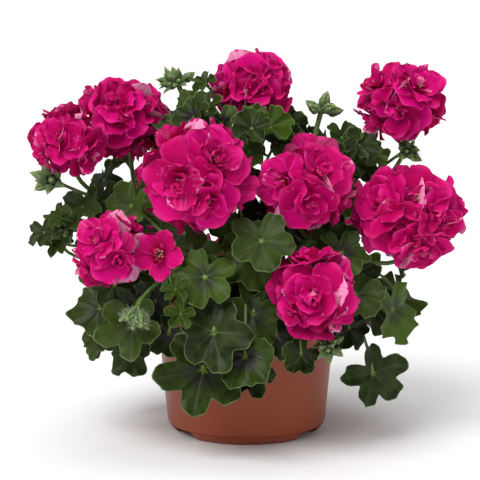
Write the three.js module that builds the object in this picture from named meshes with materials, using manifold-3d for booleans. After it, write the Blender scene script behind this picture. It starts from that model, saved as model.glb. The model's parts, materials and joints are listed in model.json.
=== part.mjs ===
// Ivy-leaved geranium (trailing pelargonium) with double flowers, in its round plastic nursery pot.
// Millimetres, +Z up. The origin is on the pot's axis, on the surface that the pot stands on,
// and -Y is the side that the plant shows best.
// The pot and the potting mix are turned shapes. The plant is nine leafy shoots, each one grown body of
// stem, petioles, leaves, flower stalks and buds, and each flower head is a ball of petals that sits on the
// tip of its stalk.

import * as THREE from "three";
import { mergeVertices } from "three/addons/utils/BufferGeometryUtils.js";
import Module from "manifold-3d";

const wasm = await Module();
wasm.setup();

// Driving dimensions

const GAP = 0.3; // between pieces that only rest on or stand in each other
const POT = {
  height: 92,
  rimRadius: 61.5,
  rimHeight: 8,
  topRadius: 60,
  shoulderRadius: 53.3,
  shoulderHeight: 11.5,
  footRadius: 46,
  footHeight: 6,
  footRound: [[48.1, 1.4], [51, 4.4], [53, 7.9]], // from the foot up to the shoulder
  wall: 1.6,
  notchWidth: 29,
  notchTopWidth: 25,
  notchTurn: 59, // how far a notch is from the front or the back
  drainRadius: 4,
  drainCircle: 33,
};
const SOIL_TOP = 80;
const STEM = { radius: 3, circle: 17, depth: 14 };
const FIRST_NODE = 0.35; // share of the stem below its first leaf
const PETIOLE_RADIUS = 1.2;
const STALK_RADIUS = 1.6;
const BUD = { radius: 2.8, knot: 3, upright: 205 }; // sprays above this height stand upright
const OVER_RIM = { below: 118, radius: 72 }; // what hangs below this height passes the rim at this radius
const DOME = { radius: 104, middle: 108, height: 112 }; // the back of the mound of leaves, above the pot

// A leaf of half-width 1 has five broad lobes, four clefts and a deeper gap at its base. Angles are in
// degrees from the middle lobe.

const BLADE = 0.8; // thickness of a leaf in the solid, in millimetres
const LOBES = [0, 66, 131];
const CLEFTS = [
  { angle: 33, depth: 0.24, spread: 12 },
  { angle: 99, depth: 0.28, spread: 13 },
];
const BASE_GAP = { depth: 0.58, spread: 18 };
const rimOf = (angles) => [...angles.map((angle) => -angle).reverse(), ...angles, 180];
const RIM = rimOf([13, 33, 52, 80, 99, 118, 147]);
const SMALL_RIM = rimOf([16, 33, 64, 99, 133]);
const SMALL_LEAF = 33; // leaves narrower than this have the small rim
const CUP = [-0.06, 0.26]; // least and most rise of the rim
const FOLD = [0.02, 0.14]; // least and most rise between two lobes
const FACING = { toFront: 0.5, low: 12, high: 46, turn: 18, tip: 12, roll: 55 };

// A flower head is a ball of double florets, one in its middle and a ring round it. Lengths are shares of
// the head's radius, and angles are from the axis of the head or of the floret.

const CORE = 0.56;
const FLORET = { seat: 0.38, length: 0.68, open: 43, ring: 66, petals: 3, middlePetals: 4 };
const RING = { full: 5, small: 4 }; // florets in it
const BIG_HEAD = 30; // heads of this radius or more carry the full ring of florets
const SINGLE = { petals: 5, length: 19, open: 72 }; // the open floret that stands out beside a head, in mm

// Colours

const MATERIALS = {
  pot: new THREE.MeshStandardMaterial({ color: "#8e4a33", roughness: 0.45 }),
  soil: new THREE.MeshStandardMaterial({ color: "#2e211a", roughness: 0.95 }),
  leaf: new THREE.MeshStandardMaterial({ color: "#3a5c2c", roughness: 0.42 }),
  petal: new THREE.MeshStandardMaterial({ color: "#cf0f74", roughness: 0.55 }),
};

// The shoots: the way each leans from the middle of the pot, how far out its tip reaches and how high it is.

const SHOOTS = [
  { lean: 0, reach: 74, rise: 150 },
  { lean: 45, reach: 60, rise: 142 },
  { lean: 90, reach: 70, rise: 132 },
  { lean: 135, reach: 62, rise: 144 },
  { lean: 180, reach: 74, rise: 150 },
  { lean: 225, reach: 66, rise: 132 },
  { lean: 270, reach: 66, rise: 136 },
  { lean: 315, reach: 64, rise: 138 },
  { lean: 260, reach: 6, rise: 196 },
];
const LEADER = SHOOTS.length - 1; // the upright shoot in the middle

// The flower heads: the middle of the ball, its radius, the shoot that carries it, and the bearing and
// elevation of the floret in its middle, in degrees. More is a floret that stands out beside the ball.

const HEADS = [
  { at: [-113, -50, 199], radius: 25, shoot: 4, bearing: 262, elevation: 8 },
  { at: [-80, -4, 211], radius: 29, shoot: 4, bearing: 265, elevation: 0 },
  { at: [4, 8, 227], radius: 29, shoot: 8, bearing: 290, elevation: 4 },
  { at: [-32, -82, 180], radius: 37, shoot: 6, bearing: 253, elevation: -12 },
  { at: [38, -61, 172], radius: 32, shoot: 7, bearing: 285, elevation: 10 },
  { at: [101, -10, 220], radius: 31, shoot: 0, bearing: 255, elevation: -5 },
  { at: [104, -48, 152], radius: 37, shoot: 7, bearing: 275, elevation: 15 },
  { at: [-82, -86, 134], radius: 26, shoot: 5, bearing: 255, elevation: 8, more: [27, -4, -2] },
  { at: [42, -100, 109], radius: 29, shoot: 6, bearing: 270, elevation: 5 },
  { at: [58, 76, 140], radius: 33, shoot: 1, bearing: 55, elevation: 25 },
  { at: [-60, 76, 144], radius: 33, shoot: 3, bearing: 130, elevation: 25 },
  { at: [-6, 97, 100], radius: 28, shoot: 2, bearing: 90, elevation: 10 },
];

// Sprays of green buds: the middle of the spray, the shoot, and how many buds.

const BUDS = [
  { at: [-124, -38, 172], shoot: 4, count: 5, length: 13 },
  { at: [-113, -30, 140], shoot: 4, count: 6, length: 12 },
  { at: [-45, 2, 231], shoot: 8, count: 6, length: 11 },
  { at: [48, -20, 214], shoot: 7, count: 6, length: 12 },
  { at: [103, -14, 188], shoot: 0, count: 5, length: 11 },
  { at: [-67, -97, 92], shoot: 5, count: 6, length: 12 },
  { at: [50, -97, 76], shoot: 6, count: 6, length: 10 },
];

// The leaves of the front half: the middle of the blade, where the petiole meets it, and its width. A few
// also have the bearing and elevation that they face, and how far the middle lobe is turned from hanging.

const FRONT_LEAVES = [
  // high on the left
  [-106, -30, 154, 36],
  [-91, -26, 158, 34],
  [-73, -40, 155, 34],
  [-96, -12, 169, 32],
  [-84, -14, 152, 26],
  [-131, -36, 139, 24],
  [-120, -34, 129, 21],
  // low on the left
  [-95, -46, 93, 40],
  [-94, -28, 70, 34],
  [-71, -74, 84, 46, 250, 22, 10],
  [-72, -58, 66, 36],
  [-87, -50, 109, 36],
  [-80, -58, 124, 34],
  // the middle
  [-25, -94, 113, 42],
  [-42, -105, 109, 20],
  [-39, -106, 100, 20],
  [-15, -98, 85, 50],
  [-24, -84, 60, 58, 262, 14, -10],
  [-3, -84, 124, 46],
  [7, -84, 96, 44],
  [-6, -102, 77, 42],
  [2, -84, 57, 32],
  [26, -84, 73, 26],
  [16, -74, 81, 34],
  [-23, -76, 142, 34],
  [-8, -60, 141, 32],
  [17, -86, 140, 44],
  [57, -70, 137, 36],
  [2, -70, 107, 40],
  // the right
  [65, -52, 153, 36],
  [89, -46, 92, 45, 322, 8, 12],
  [65, -62, 100, 36],
  [66, -60, 80, 30],
  [81, -54, 49, 44, 285, 12, 45],
  [63, -48, 116, 36],
  [77, -46, 126, 36],
  // the top right
  [61, -34, 198, 24],
  [66, -44, 191, 28],
  [77, -26, 189, 28],
  [88, -24, 185, 26],
  [64, -16, 158, 30],
  [78, -20, 172, 30],
  // the top
  [-25, -6, 232, 20],
  [-27, -34, 216, 30],
  [-33, -18, 215, 24],
  [-32, -44, 209, 28],
  [-12, -18, 214, 30],
  [5, -34, 209, 24],
  [14, -40, 201, 28],
  [22, -36, 195, 26],
  [-2, -50, 198, 30],
  [6, -52, 186, 26],
  [28, -20, 197, 26],
  // inside, behind the others
  [-54, -58, 94, 36],
  [-48, -64, 80, 30],
  [-59, -46, 106, 34],
  [10, -66, 96, 34],
  [60, -36, 133, 32],
  [8, -34, 150, 30],
  [28, -26, 140, 36],
  [-40, -46, 139, 34],
  [-12, -14, 188, 28],
  [-63, -20, 159, 32],
  [-77, -22, 137, 34],
  [60, 0, 174, 28],
  [82, -14, 147, 30],
  [-20, -62, 94, 32],
  [54, -46, 95, 34],
  [-2, -56, 98, 32],
  [-118, -40, 148, 22],
  [5, -44, 171, 28],
  [-44, -20, 207, 26],
  [85, -18, 194, 24],
];

// The leaves of the back half are spread over the mound, the widest at the bottom.

const BACK_LEAVES = { count: 28, turn: 0.3, lowest: 56, highest: 204, width: 48, least: 34 };

// Small helpers

const GOLDEN = (Math.sqrt(5) - 1) / 2; // steps of this share of a circle spread evenly
const X = new THREE.Vector3(1, 0, 0);
const Z = new THREE.Vector3(0, 0, 1);
const radians = (degrees) => (degrees * Math.PI) / 180;
const vector = (x, y, z) => new THREE.Vector3(x, y, z);
const onCircle = (radius, degrees, z) =>
  vector(radius * Math.cos(radians(degrees)), radius * Math.sin(radians(degrees)), z);
const bearingOf = (place) => THREE.MathUtils.radToDeg(Math.atan2(place.y, place.x));
const mix = (a, b, share) => a + (b - a) * share;

// A number from 0 to 1 that is always the same for the same seed.
function draw(seed) {
  const s = Math.sin(seed * 12.9898 + 4.1414) * 43758.5453;
  return s - Math.floor(s);
}
const spread = (most, seed) => mix(-most, most, draw(seed));

// A three.js geometry as a solid that can be joined and cut.
function solid(geometry) {
  const bare = geometry.index ? geometry.toNonIndexed() : geometry.clone();
  bare.deleteAttribute("normal");
  bare.deleteAttribute("uv");
  const merged = mergeVertices(bare, 1e-4);
  return new wasm.Manifold(
    new wasm.Mesh({
      numProp: 3,
      vertProperties: merged.attributes.position.array,
      triVerts: new Uint32Array(merged.index.array),
    }),
  );
}

// A solid as a named three.js mesh, keeping only its largest body.
function piece(name, body, material) {
  const largest = body.decompose().reduce((a, b) => (a.volume() > b.volume() ? a : b));
  const mesh = largest.getMesh();
  const geometry = new THREE.BufferGeometry();
  geometry.setAttribute("position", new THREE.BufferAttribute(mesh.vertProperties, 3));
  geometry.setIndex(new THREE.BufferAttribute(mesh.triVerts, 1));
  geometry.computeVertexNormals();
  const made = new THREE.Mesh(geometry, material);
  made.name = name;
  return made;
}

// A round body turned about the Z axis from a closed profile of [radius, height] points.
function turned(profile, segments) {
  const points = profile.map(([r, z]) => new THREE.Vector2(r, z));
  return solid(new THREE.LatheGeometry(points, segments).rotateX(Math.PI / 2));
}

// A straight round bar between two points.
function bar(from, to, radius, sides) {
  const along = vector(0, 0, 0).subVectors(to, from);
  const made = new THREE.CylinderGeometry(radius, radius, along.length(), sides);
  made.rotateX(Math.PI / 2);
  made.applyQuaternion(new THREE.Quaternion().setFromUnitVectors(Z, along.clone().normalize()));
  made.translate((from.x + to.x) / 2, (from.y + to.y) / 2, (from.z + to.z) / 2);
  return solid(made);
}

// A tube of even thickness along a curve.
function tube(curve, radius, sides, steps) {
  const section = new THREE.Shape();
  for (let i = 0; i < sides; i++) {
    const a = (2 * Math.PI * i) / sides;
    if (i === 0) section.moveTo(radius * Math.cos(a), radius * Math.sin(a));
    else section.lineTo(radius * Math.cos(a), radius * Math.sin(a));
  }
  return solid(new THREE.ExtrudeGeometry(section, { steps, extrudePath: curve, curveSegments: 1 }));
}

// Leaves

// The distance from the petiole to the edge of a leaf of half-width 1, at an angle from the middle lobe.
function edgeReach(angle) {
  const away = Math.abs(angle);
  const dip = (from, { depth, spread }) => 1 - depth * Math.exp(-((from / spread) ** 2));
  let reach = mix(0.82, 1, Math.cos(radians(away) / 2) ** 2);
  for (const cleft of CLEFTS) reach *= dip(away - cleft.angle, cleft);
  return reach * dip(180 - away, BASE_GAP);
}

// How far a leaf of half-width 1 rises at a distance from the petiole: cupped, and folded along each lobe.
function bladeRise(leaf, angle, reach) {
  const fold = Math.min(...LOBES.map((lobe) => Math.abs(Math.abs(angle) - lobe))) / 33;
  return leaf.cup * reach ** 2 + leaf.fold * reach * Math.min(1, fold) ** 2;
}

// The mound's radius at a height.
function domeRadius(z) {
  const share = (z - DOME.middle) / DOME.height;
  return DOME.radius * Math.sqrt(Math.max(0.02, 1 - share ** 2));
}

// A leaf's frame: it faces out from the mound and up to the light, the leaves of the front half turn to the
// front, and the middle lobe hangs.
function aimLeaf(leaf) {
  const seed = leaf.seed * 7.3;
  const fromFront = THREE.MathUtils.euclideanModulo(bearingOf(leaf.at) + 270, 360) - 180; // 0 faces -Y
  const toFront = leaf.at.y < 0 ? FACING.toFront : 0;
  const own = 270 + mix(fromFront, 0, toFront) + spread(FACING.turn, seed);
  const bearing = radians(leaf.bearing ?? own);
  const height = THREE.MathUtils.clamp((leaf.at.z - 40) / 170, 0, 1);
  const rise = mix(FACING.low, FACING.high, height) + spread(FACING.tip, seed + 1);
  const elevation = radians(leaf.elevation ?? rise);
  const out = vector(Math.cos(bearing), Math.sin(bearing), 0);
  leaf.face = out.clone().multiplyScalar(Math.cos(elevation)).addScaledVector(Z, Math.sin(elevation));
  const hang = out.clone().multiplyScalar(0.4).addScaledVector(Z, -1);
  leaf.mid = hang.addScaledVector(leaf.face, -hang.dot(leaf.face)).normalize();
  leaf.mid.applyAxisAngle(leaf.face, radians(leaf.turn ?? spread(FACING.roll, seed + 2)));
  leaf.side = vector(0, 0, 0).crossVectors(leaf.mid, leaf.face);
  leaf.cup = mix(...CUP, draw(seed + 3));
  leaf.fold = mix(...FOLD, draw(seed + 4));
}

function makeLeaves() {
  const leaves = FRONT_LEAVES.map(([x, y, z, width, bearing, elevation, turn]) => ({
    at: vector(x, y, z),
    width,
    bearing,
    elevation,
    turn,
  }));
  const { count, turn, lowest, highest, width, least } = BACK_LEAVES;
  for (let i = 0; i < count; i++) {
    const height = (i + 0.5) / count;
    const bearing = 180 * ((i * GOLDEN + turn) % 1);
    const z = mix(lowest, highest, height);
    leaves.push({ at: onCircle(domeRadius(z), bearing, z), width: mix(width, least, height) });
  }
  leaves.forEach((leaf, i) => {
    leaf.seed = i + 1;
    leaf.half = leaf.width / 2 / 0.95;
    aimLeaf(leaf);
  });
  return leaves;
}

// Points spread over a leaf, by which it feels its neighbours.
const FEELERS = [[0, 0]];
for (let i = 0; i < 6; i++) FEELERS.push([60 * i - 180, 0.5]);
for (let i = 0; i < 10; i++) FEELERS.push([36 * i - 180, 0.92]);

function feel(leaf) {
  return FEELERS.map(([angle, share]) => {
    const reach = share * edgeReach(angle);
    return leaf.at
      .clone()
      .addScaledVector(leaf.side, leaf.half * reach * Math.sin(radians(angle)))
      .addScaledVector(leaf.mid, leaf.half * reach * Math.cos(radians(angle)))
      .addScaledVector(leaf.face, leaf.half * bladeRise(leaf, angle, reach));
  });
}

// Leaves that are too near are moved apart, one out and one in, and leaves are moved out of the flower
// heads and off the pot, a little at a time.
const ROOM = { share: 0.18, head: 2.5, pot: 5, rounds: 90, step: 0.5, slide: 0.35 };

function settle(leaves) {
  for (let round = 0; round < ROOM.rounds; round++) {
    const felt = leaves.map(feel);
    const moves = leaves.map(() => vector(0, 0, 0));
    for (let i = 0; i < leaves.length; i++) {
      for (let j = i + 1; j < leaves.length; j++) {
        const [a, b] = [leaves[i], leaves[j]];
        const room = ROOM.share * (a.half + b.half);
        if (a.at.distanceTo(b.at) > a.half + b.half + room) continue;
        let nearest = room;
        for (const p of felt[i]) for (const q of felt[j]) nearest = Math.min(nearest, p.distanceTo(q));
        if (nearest >= room) continue;
        const outward = a.face.clone().add(b.face).normalize();
        const ahead = vector(0, 0, 0).subVectors(a.at, b.at).dot(outward) >= 0 ? 1 : -1;
        const push = (room - nearest) * ROOM.step * 0.5 * ahead;
        const apart = vector(0, 0, 0).subVectors(a.at, b.at);
        apart.addScaledVector(outward, -apart.dot(outward)).setLength(Math.abs(push) * ROOM.slide);
        moves[i].addScaledVector(outward, push).add(apart);
        moves[j].addScaledVector(outward, -push).sub(apart);
      }
      for (const head of HEADS) {
        const middle = vector(...head.at);
        const room = head.radius + ROOM.head;
        const depth = Math.max(...felt[i].map((p) => room - p.distanceTo(middle)));
        if (depth <= 0) continue;
        moves[i].addScaledVector(leaves[i].at.clone().sub(middle).normalize(), depth * ROOM.step);
      }
      let inPot = 0;
      for (const p of felt[i]) {
        const room = p.z < POT.height + ROOM.pot ? POT.rimRadius + ROOM.pot - Math.hypot(p.x, p.y) : 0;
        inPot = Math.max(inPot, Math.min(room, POT.height + ROOM.pot - p.z + 20));
      }
      const out = vector(leaves[i].at.x, leaves[i].at.y, 0).normalize();
      if (inPot > 0) moves[i].addScaledVector(out, inPot + Math.max(0, -moves[i].dot(out)));
    }
    leaves.forEach((leaf, i) => leaf.at.add(moves[i].clampLength(0, 4)));
  }
}

// Shoots

function stemCurve({ lean, reach, rise }) {
  const foot = onCircle(STEM.circle, lean, SOIL_TOP + 2);
  if (reach < STEM.circle) foot.set(0, 0, SOIL_TOP + 2);
  const tip = onCircle(reach, lean, rise);
  const knee = foot.clone().lerp(tip, 0.3).addScaledVector(Z, 0.16 * (rise - SOIL_TOP));
  const arm = foot.clone().lerp(tip, 0.68).addScaledVector(Z, 0.12 * (rise - SOIL_TOP));
  return new THREE.CatmullRomCurve3([foot, knee, arm, tip]);
}

// The shoot that a leaf grows from: the leader for the crown, and otherwise the one that leans its way.
function shootOf(at) {
  if (at.z > 176 && Math.hypot(at.x, at.y) < 62) return LEADER;
  return Math.round((bearingOf(at) + 360) / 45) % LEADER;
}

// The way from a stem to a place that hangs beside the pot, over the rim; from is where it ends, coming
// from the given side.
function armCurve(foot, end, from) {
  const low = Math.max(0, OVER_RIM.below - end.z);
  if (low === 0) {
    const near = end.clone().addScaledVector(from, 0.4 * foot.distanceTo(end));
    return new THREE.QuadraticBezierCurve3(end, near, foot);
  }
  const bearing = bearingOf(end);
  const near = end.clone().addScaledVector(from, 10);
  const clear = Math.max(OVER_RIM.radius, Math.hypot(near.x, near.y));
  const side = onCircle(clear, bearing, end.z + 0.55 * low);
  const above = onCircle(OVER_RIM.radius - 4, bearing, Math.max(OVER_RIM.below + 4, foot.z));
  return new THREE.CubicBezierCurve3(end, side, above, foot);
}

// A leaf with its petiole as one closed body. The blade is a fan of triangles from its middle to its rim;
// its underside runs into the three-sided petiole, which ends in the stem.
const PETIOLE_SIDES = [-120, 0, 120];

function leafBody(leaf, foot) {
  const place = (angle, reach, height) =>
    leaf.at
      .clone()
      .addScaledVector(leaf.side, reach * Math.sin(radians(angle)))
      .addScaledVector(leaf.mid, reach * Math.cos(radians(angle)))
      .addScaledVector(leaf.face, height);
  const edge = (angle, offset) => {
    const reach = edgeReach(angle);
    return place(angle, leaf.half * reach, leaf.half * bladeRise(leaf, angle, reach) + offset);
  };
  const rim = leaf.width < SMALL_LEAF ? SMALL_RIM : RIM;
  const n = rim.length;
  const points = [place(0, 0, BLADE / 2)];
  for (const angle of rim) points.push(edge(angle, BLADE / 2));
  for (const angle of rim) points.push(edge(angle, -BLADE / 2));
  for (const angle of PETIOLE_SIDES) points.push(place(angle, PETIOLE_RADIUS * 1.5, -BLADE / 2));
  const nearest = rim.map((angle) => {
    const closeness = PETIOLE_SIDES.map((one) => Math.cos(radians(angle - one)));
    return closeness.indexOf(Math.max(...closeness));
  });
  const index = [];
  const first = 2 * n + 1;
  for (let i = 0; i < n; i++) {
    const j = (i + 1) % n;
    const [a, b, c, d] = [1 + i, 1 + j, 1 + n + i, 1 + n + j];
    index.push(0, b, a, a, b, c, b, d, c, first + nearest[i], c, d);
    if (nearest[i] !== nearest[j]) index.push(d, first + nearest[j], first + nearest[i]);
  }
  const path = armCurve(foot, leaf.at, leaf.face.clone().negate());
  const steps = leaf.at.z < OVER_RIM.below ? 4 : 2;
  let [across, along] = [leaf.side.clone(), leaf.mid.clone()];
  for (let k = 1; k <= steps; k++) {
    const at = path.getPoint(k / steps);
    const tangent = path.getTangent(k / steps);
    along = along.addScaledVector(tangent, -along.dot(tangent)).normalize();
    across = across.crossVectors(tangent, along);
    for (const angle of PETIOLE_SIDES) {
      const point = at.clone().addScaledVector(across, PETIOLE_RADIUS * Math.sin(radians(angle)));
      points.push(point.addScaledVector(along, PETIOLE_RADIUS * Math.cos(radians(angle))));
    }
    for (let i = 0; i < 3; i++) {
      const [a, b] = [first + 3 * (k - 1) + i, first + 3 * (k - 1) + ((i + 1) % 3)];
      index.push(a, b, a + 3, b, b + 3, a + 3);
    }
  }
  const last = first + 3 * steps;
  index.push(last, last + 1, last + 2);
  const geometry = new THREE.BufferGeometry().setFromPoints(points);
  geometry.setIndex(index);
  return solid(geometry);
}

// Flower heads

// The unit vector of a head's middle floret, and the two across it.
function headAxes(head) {
  const face = onCircle(Math.cos(radians(head.elevation)), head.bearing, Math.sin(radians(head.elevation)));
  const side = vector(0, 0, 0).crossVectors(Z, face).normalize();
  const up = vector(0, 0, 0).crossVectors(face, side);
  return { face, side, up };
}

// The way a head's stalk comes into it: from below and behind.
function stalkEntry(head) {
  const { face } = headAxes(head);
  const down = 0.9 * THREE.MathUtils.clamp((head.at[2] - 100) / 55, 0, 1);
  return vector(-face.x * 0.75, -face.y * 0.75, -down).normalize();
}

// The directions of a head's florets: one in the middle and a ring round it.
function floretAims(head, index) {
  const { face, side, up } = headAxes(head);
  const aims = [face.clone()];
  const count = head.radius < BIG_HEAD ? RING.small : RING.full;
  for (let i = 0; i < count; i++) {
    const turn = radians((360 * (i + draw(index * 3.7)) + spread(10, index * 5.1 + i)) / count);
    const away = radians(FLORET.ring + spread(4, index * 9.2 + i));
    aims.push(
      face
        .clone()
        .multiplyScalar(Math.cos(away))
        .addScaledVector(side, Math.sin(away) * Math.cos(turn))
        .addScaledVector(up, Math.sin(away) * Math.sin(turn)),
    );
  }
  return aims;
}

// One petal on a floret: a point at its root in the head, widest past its middle and blunt at its end, hollow
// on its face and with a ridge on its back.
function petal(root, aim, turn, length, open) {
  const across = vector(0, 0, 0).crossVectors(aim, Math.abs(aim.z) < 0.9 ? Z : X).normalize();
  const out = across.clone().applyAxisAngle(aim, turn);
  const side = vector(0, 0, 0).crossVectors(aim, out);
  const way = out.clone().multiplyScalar(Math.sin(open)).addScaledVector(aim, Math.cos(open));
  const back = out.clone().multiplyScalar(Math.cos(open)).addScaledVector(aim, -Math.sin(open));
  const place = (along, wide, deep) =>
    root
      .clone()
      .addScaledVector(way, along * length)
      .addScaledVector(side, wide * length)
      .addScaledVector(back, deep * length);
  const points = [
    place(0, 0, 0),
    place(0.66, -0.42, 0.02),
    place(1, -0.2, 0.12),
    place(1, 0.2, 0.12),
    place(0.66, 0.42, 0.02),
    place(0.55, 0, 0.17),
  ];
  const index = [0, 1, 2, 0, 2, 3, 0, 3, 4, 5, 1, 0, 5, 2, 1, 5, 3, 2, 5, 4, 3, 5, 0, 4];
  const geometry = new THREE.BufferGeometry().setFromPoints(points);
  geometry.setIndex(index);
  return solid(geometry);
}

function bloom(head, index) {
  const middle = vector(...head.at);
  const core = head.radius * CORE;
  const corner = vector(0, 1, 1 / GOLDEN).normalize();
  const ball = new THREE.IcosahedronGeometry(core, 0);
  ball.applyQuaternion(new THREE.Quaternion().setFromUnitVectors(corner, stalkEntry(head)));
  const bodies = [solid(ball.translate(...head.at))];
  const length = head.radius * FLORET.length;
  floretAims(head, index).forEach((aim, k) => {
    const seat = middle.clone().addScaledVector(aim, head.radius * FLORET.seat);
    const petals = k === 0 ? FLORET.middlePetals : FLORET.petals;
    for (let i = 0; i < petals; i++) {
      const seed = index * 41 + k * 7 + i;
      const turn = (2 * Math.PI * (i + 0.2 * draw(seed) + draw(index + k))) / petals;
      const open = radians(FLORET.open + spread(5, seed + 0.5));
      bodies.push(petal(seat, aim, turn, length, open));
    }
  });
  if (head.more) {
    const single = middle.clone().add(vector(...head.more));
    bodies.push(bar(middle, single, STALK_RADIUS, 4));
    for (let i = 0; i < SINGLE.petals; i++) {
      const turn = (2 * Math.PI * (i + 0.3)) / SINGLE.petals;
      bodies.push(petal(single, headAxes(head).face, turn, SINGLE.length, radians(SINGLE.open)));
    }
  }
  return wasm.Manifold.union(bodies);
}

// A flower stalk: from the stem to the head, straight where it runs into it.
function flowerStalk(head, foot) {
  const middle = vector(...head.at);
  const entry = stalkEntry(head);
  const tip = middle.clone().addScaledVector(entry, head.radius * CORE + GAP);
  const mouth = middle.clone().addScaledVector(entry, head.radius + 3);
  const arm = armCurve(foot, mouth.clone().addScaledVector(entry, -2), entry);
  return [tube(arm, STALK_RADIUS, 4, 4), bar(tip, mouth, STALK_RADIUS, 6)];
}

// A spray of buds on its own stalk: pointed buds that spread from one point.
function budSpray(spray, foot, index) {
  const middle = vector(...spray.at);
  const away = onCircle(1, bearingOf(middle), middle.z > BUD.upright ? 3 : 0.5).normalize();
  const bodies = [tube(armCurve(foot, middle, away.clone().negate()), PETIOLE_RADIUS, 3, 3)];
  bodies.push(solid(new THREE.OctahedronGeometry(BUD.knot, 0).translate(...spray.at)));
  const across = vector(0, 0, 0).crossVectors(away, Z).normalize();
  for (let i = 0; i < spray.count; i++) {
    const lean = i === 0 ? 0 : 62 + spread(10, index + i);
    const aim = away.clone().applyAxisAngle(across, radians(lean));
    aim.applyAxisAngle(away, (2 * Math.PI * i) / Math.max(1, spray.count - 1));
    const bud = new THREE.OctahedronGeometry(1, 0).scale(BUD.radius, BUD.radius, spray.length / 2);
    bud.applyQuaternion(new THREE.Quaternion().setFromUnitVectors(Z, aim));
    const place = middle.clone().addScaledVector(aim, spray.length / 2 + BUD.knot / 3);
    bodies.push(solid(bud.translate(place.x, place.y, place.z)));
  }
  return bodies;
}

// A leafy shoot: its stem with a straight foot in the soil, and all that grows from it, as one body. What it
// carries leaves the stem in the order of its height, the highest at the tip.
function shoot(index, leaves) {
  const curve = stemCurve(SHOOTS[index]);
  const top = curve.getPoint(0);
  const bottom = vector(top.x, top.y, SOIL_TOP - STEM.depth);
  const bodies = [
    bar(bottom, top.clone().addScaledVector(Z, 2), STEM.radius, 6),
    tube(curve, STEM.radius * 0.9, 5, 4),
  ];
  const carried = [
    ...leaves
      .filter((leaf) => shootOf(leaf.home) === index)
      .map((leaf) => ({ height: leaf.at.z, grow: (foot) => [leafBody(leaf, foot)] })),
    ...HEADS.filter((head) => head.shoot === index).map((head) => ({
      height: head.at[2],
      grow: (foot) => flowerStalk(head, foot),
    })),
    ...BUDS.filter((spray) => spray.shoot === index).map((spray, i) => ({
      height: spray.at[2],
      grow: (foot) => budSpray(spray, foot, i),
    })),
  ];
  carried.sort((a, b) => a.height - b.height);
  carried.forEach((one, i) => {
    const share = mix(FIRST_NODE, 1, (i + 0.5) / carried.length);
    bodies.push(...one.grow(curve.getPoint(share)));
  });
  return wasm.Manifold.union(bodies);
}

// Pot and soil

function pot() {
  const p = POT;
  const innerTop = p.topRadius - p.wall;
  const floor = p.footHeight + p.wall;
  const body = turned(
    [
      [0, p.footHeight],
      [p.footRadius + 3, p.footHeight],
      [p.footRadius + 0.4, 3],
      [p.footRadius - p.wall, 1],
      [p.footRadius - p.wall, 0],
      [p.footRadius, 0],
      ...p.footRound,
      [p.shoulderRadius, p.shoulderHeight],
      [p.topRadius, p.height - p.rimHeight],
      [p.rimRadius, p.height - p.rimHeight + 0.6],
      [p.rimRadius, p.height],
      [p.rimRadius - p.wall, p.height],
      [innerTop, p.height - p.rimHeight],
      [p.shoulderRadius - p.wall, p.shoulderHeight + 0.8],
      [p.footRadius + 3.4, floor],
      [0, floor],
    ],
    28,
  );
  const cuts = [];
  const turns = [-p.notchTurn, p.notchTurn, 180 - p.notchTurn, 180 + p.notchTurn];
  turns.forEach((turn, i) => {
    const notch = new THREE.Shape();
    notch.moveTo(-p.notchWidth / 2, -1);
    notch.lineTo(p.notchWidth / 2, -1);
    notch.lineTo(p.notchTopWidth / 2, p.footHeight - 0.2);
    notch.lineTo(-p.notchTopWidth / 2, p.footHeight - 0.2);
    const wedge = new THREE.ExtrudeGeometry(notch, { depth: 20, bevelEnabled: false });
    wedge.rotateX(Math.PI / 2).translate(0, -p.footRadius + 10, 0);
    cuts.push(solid(wedge.rotateZ(radians(turn))));
    const at = onCircle(p.drainCircle, 90 * i, 0);
    cuts.push(bar(vector(at.x, at.y, 3), vector(at.x, at.y, floor + 2), p.drainRadius, 8));
  });
  return body.subtract(wasm.Manifold.union(cuts));
}

function soil() {
  const p = POT;
  const taperHeight = p.height - p.rimHeight - p.shoulderHeight;
  const wallAt = (z) =>
    mix(p.shoulderRadius, p.topRadius, (z - p.shoulderHeight) / taperHeight) - p.wall - GAP;
  const bottom = p.footHeight + p.wall + GAP;
  const body = turned(
    [
      [0, bottom],
      [p.footRadius + 2.6, bottom],
      [wallAt(p.shoulderHeight + 0.8), p.shoulderHeight + 1.2],
      [wallAt(SOIL_TOP - 2), SOIL_TOP - 2],
      [wallAt(SOIL_TOP) - 4, SOIL_TOP],
      [0, SOIL_TOP],
    ],
    28,
  );
  const holes = SHOOTS.map((one) => {
    const top = stemCurve(one).getPoint(0);
    const bottom = vector(top.x, top.y, SOIL_TOP - STEM.depth - GAP);
    return bar(bottom, vector(top.x, top.y, SOIL_TOP + 5), STEM.radius + GAP + 0.1, 6);
  });
  return body.subtract(wasm.Manifold.union(holes));
}

// The whole

const leaves = makeLeaves();
leaves.forEach((leaf) => (leaf.home = leaf.at.clone()));
settle(leaves);

const geranium = new THREE.Group();
geranium.add(piece("pot", pot(), MATERIALS.pot));
geranium.add(piece("soil", soil(), MATERIALS.soil));
SHOOTS.forEach((_, i) => geranium.add(piece(`shoot_${i + 1}`, shoot(i, leaves), MATERIALS.leaf)));
HEADS.forEach((head, i) => geranium.add(piece(`bloom_${i + 1}`, bloom(head, i), MATERIALS.petal)));

export default geranium;
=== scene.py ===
# An ivy-leaved geranium with double flowers in its round nursery pot, dressed over its CAD solids.
# The plan of the plant is the one in the part's source: the same shoots, heads, sprays and leaves in
# millimetres, settled by the same rule. One finer piece replaces each CAD node, in the same place.

import json
import math
from math import copysign, cos, exp, hypot, pi, radians, sin, sqrt

import bpy
import numpy as np
from mathutils import Matrix, Vector

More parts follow.
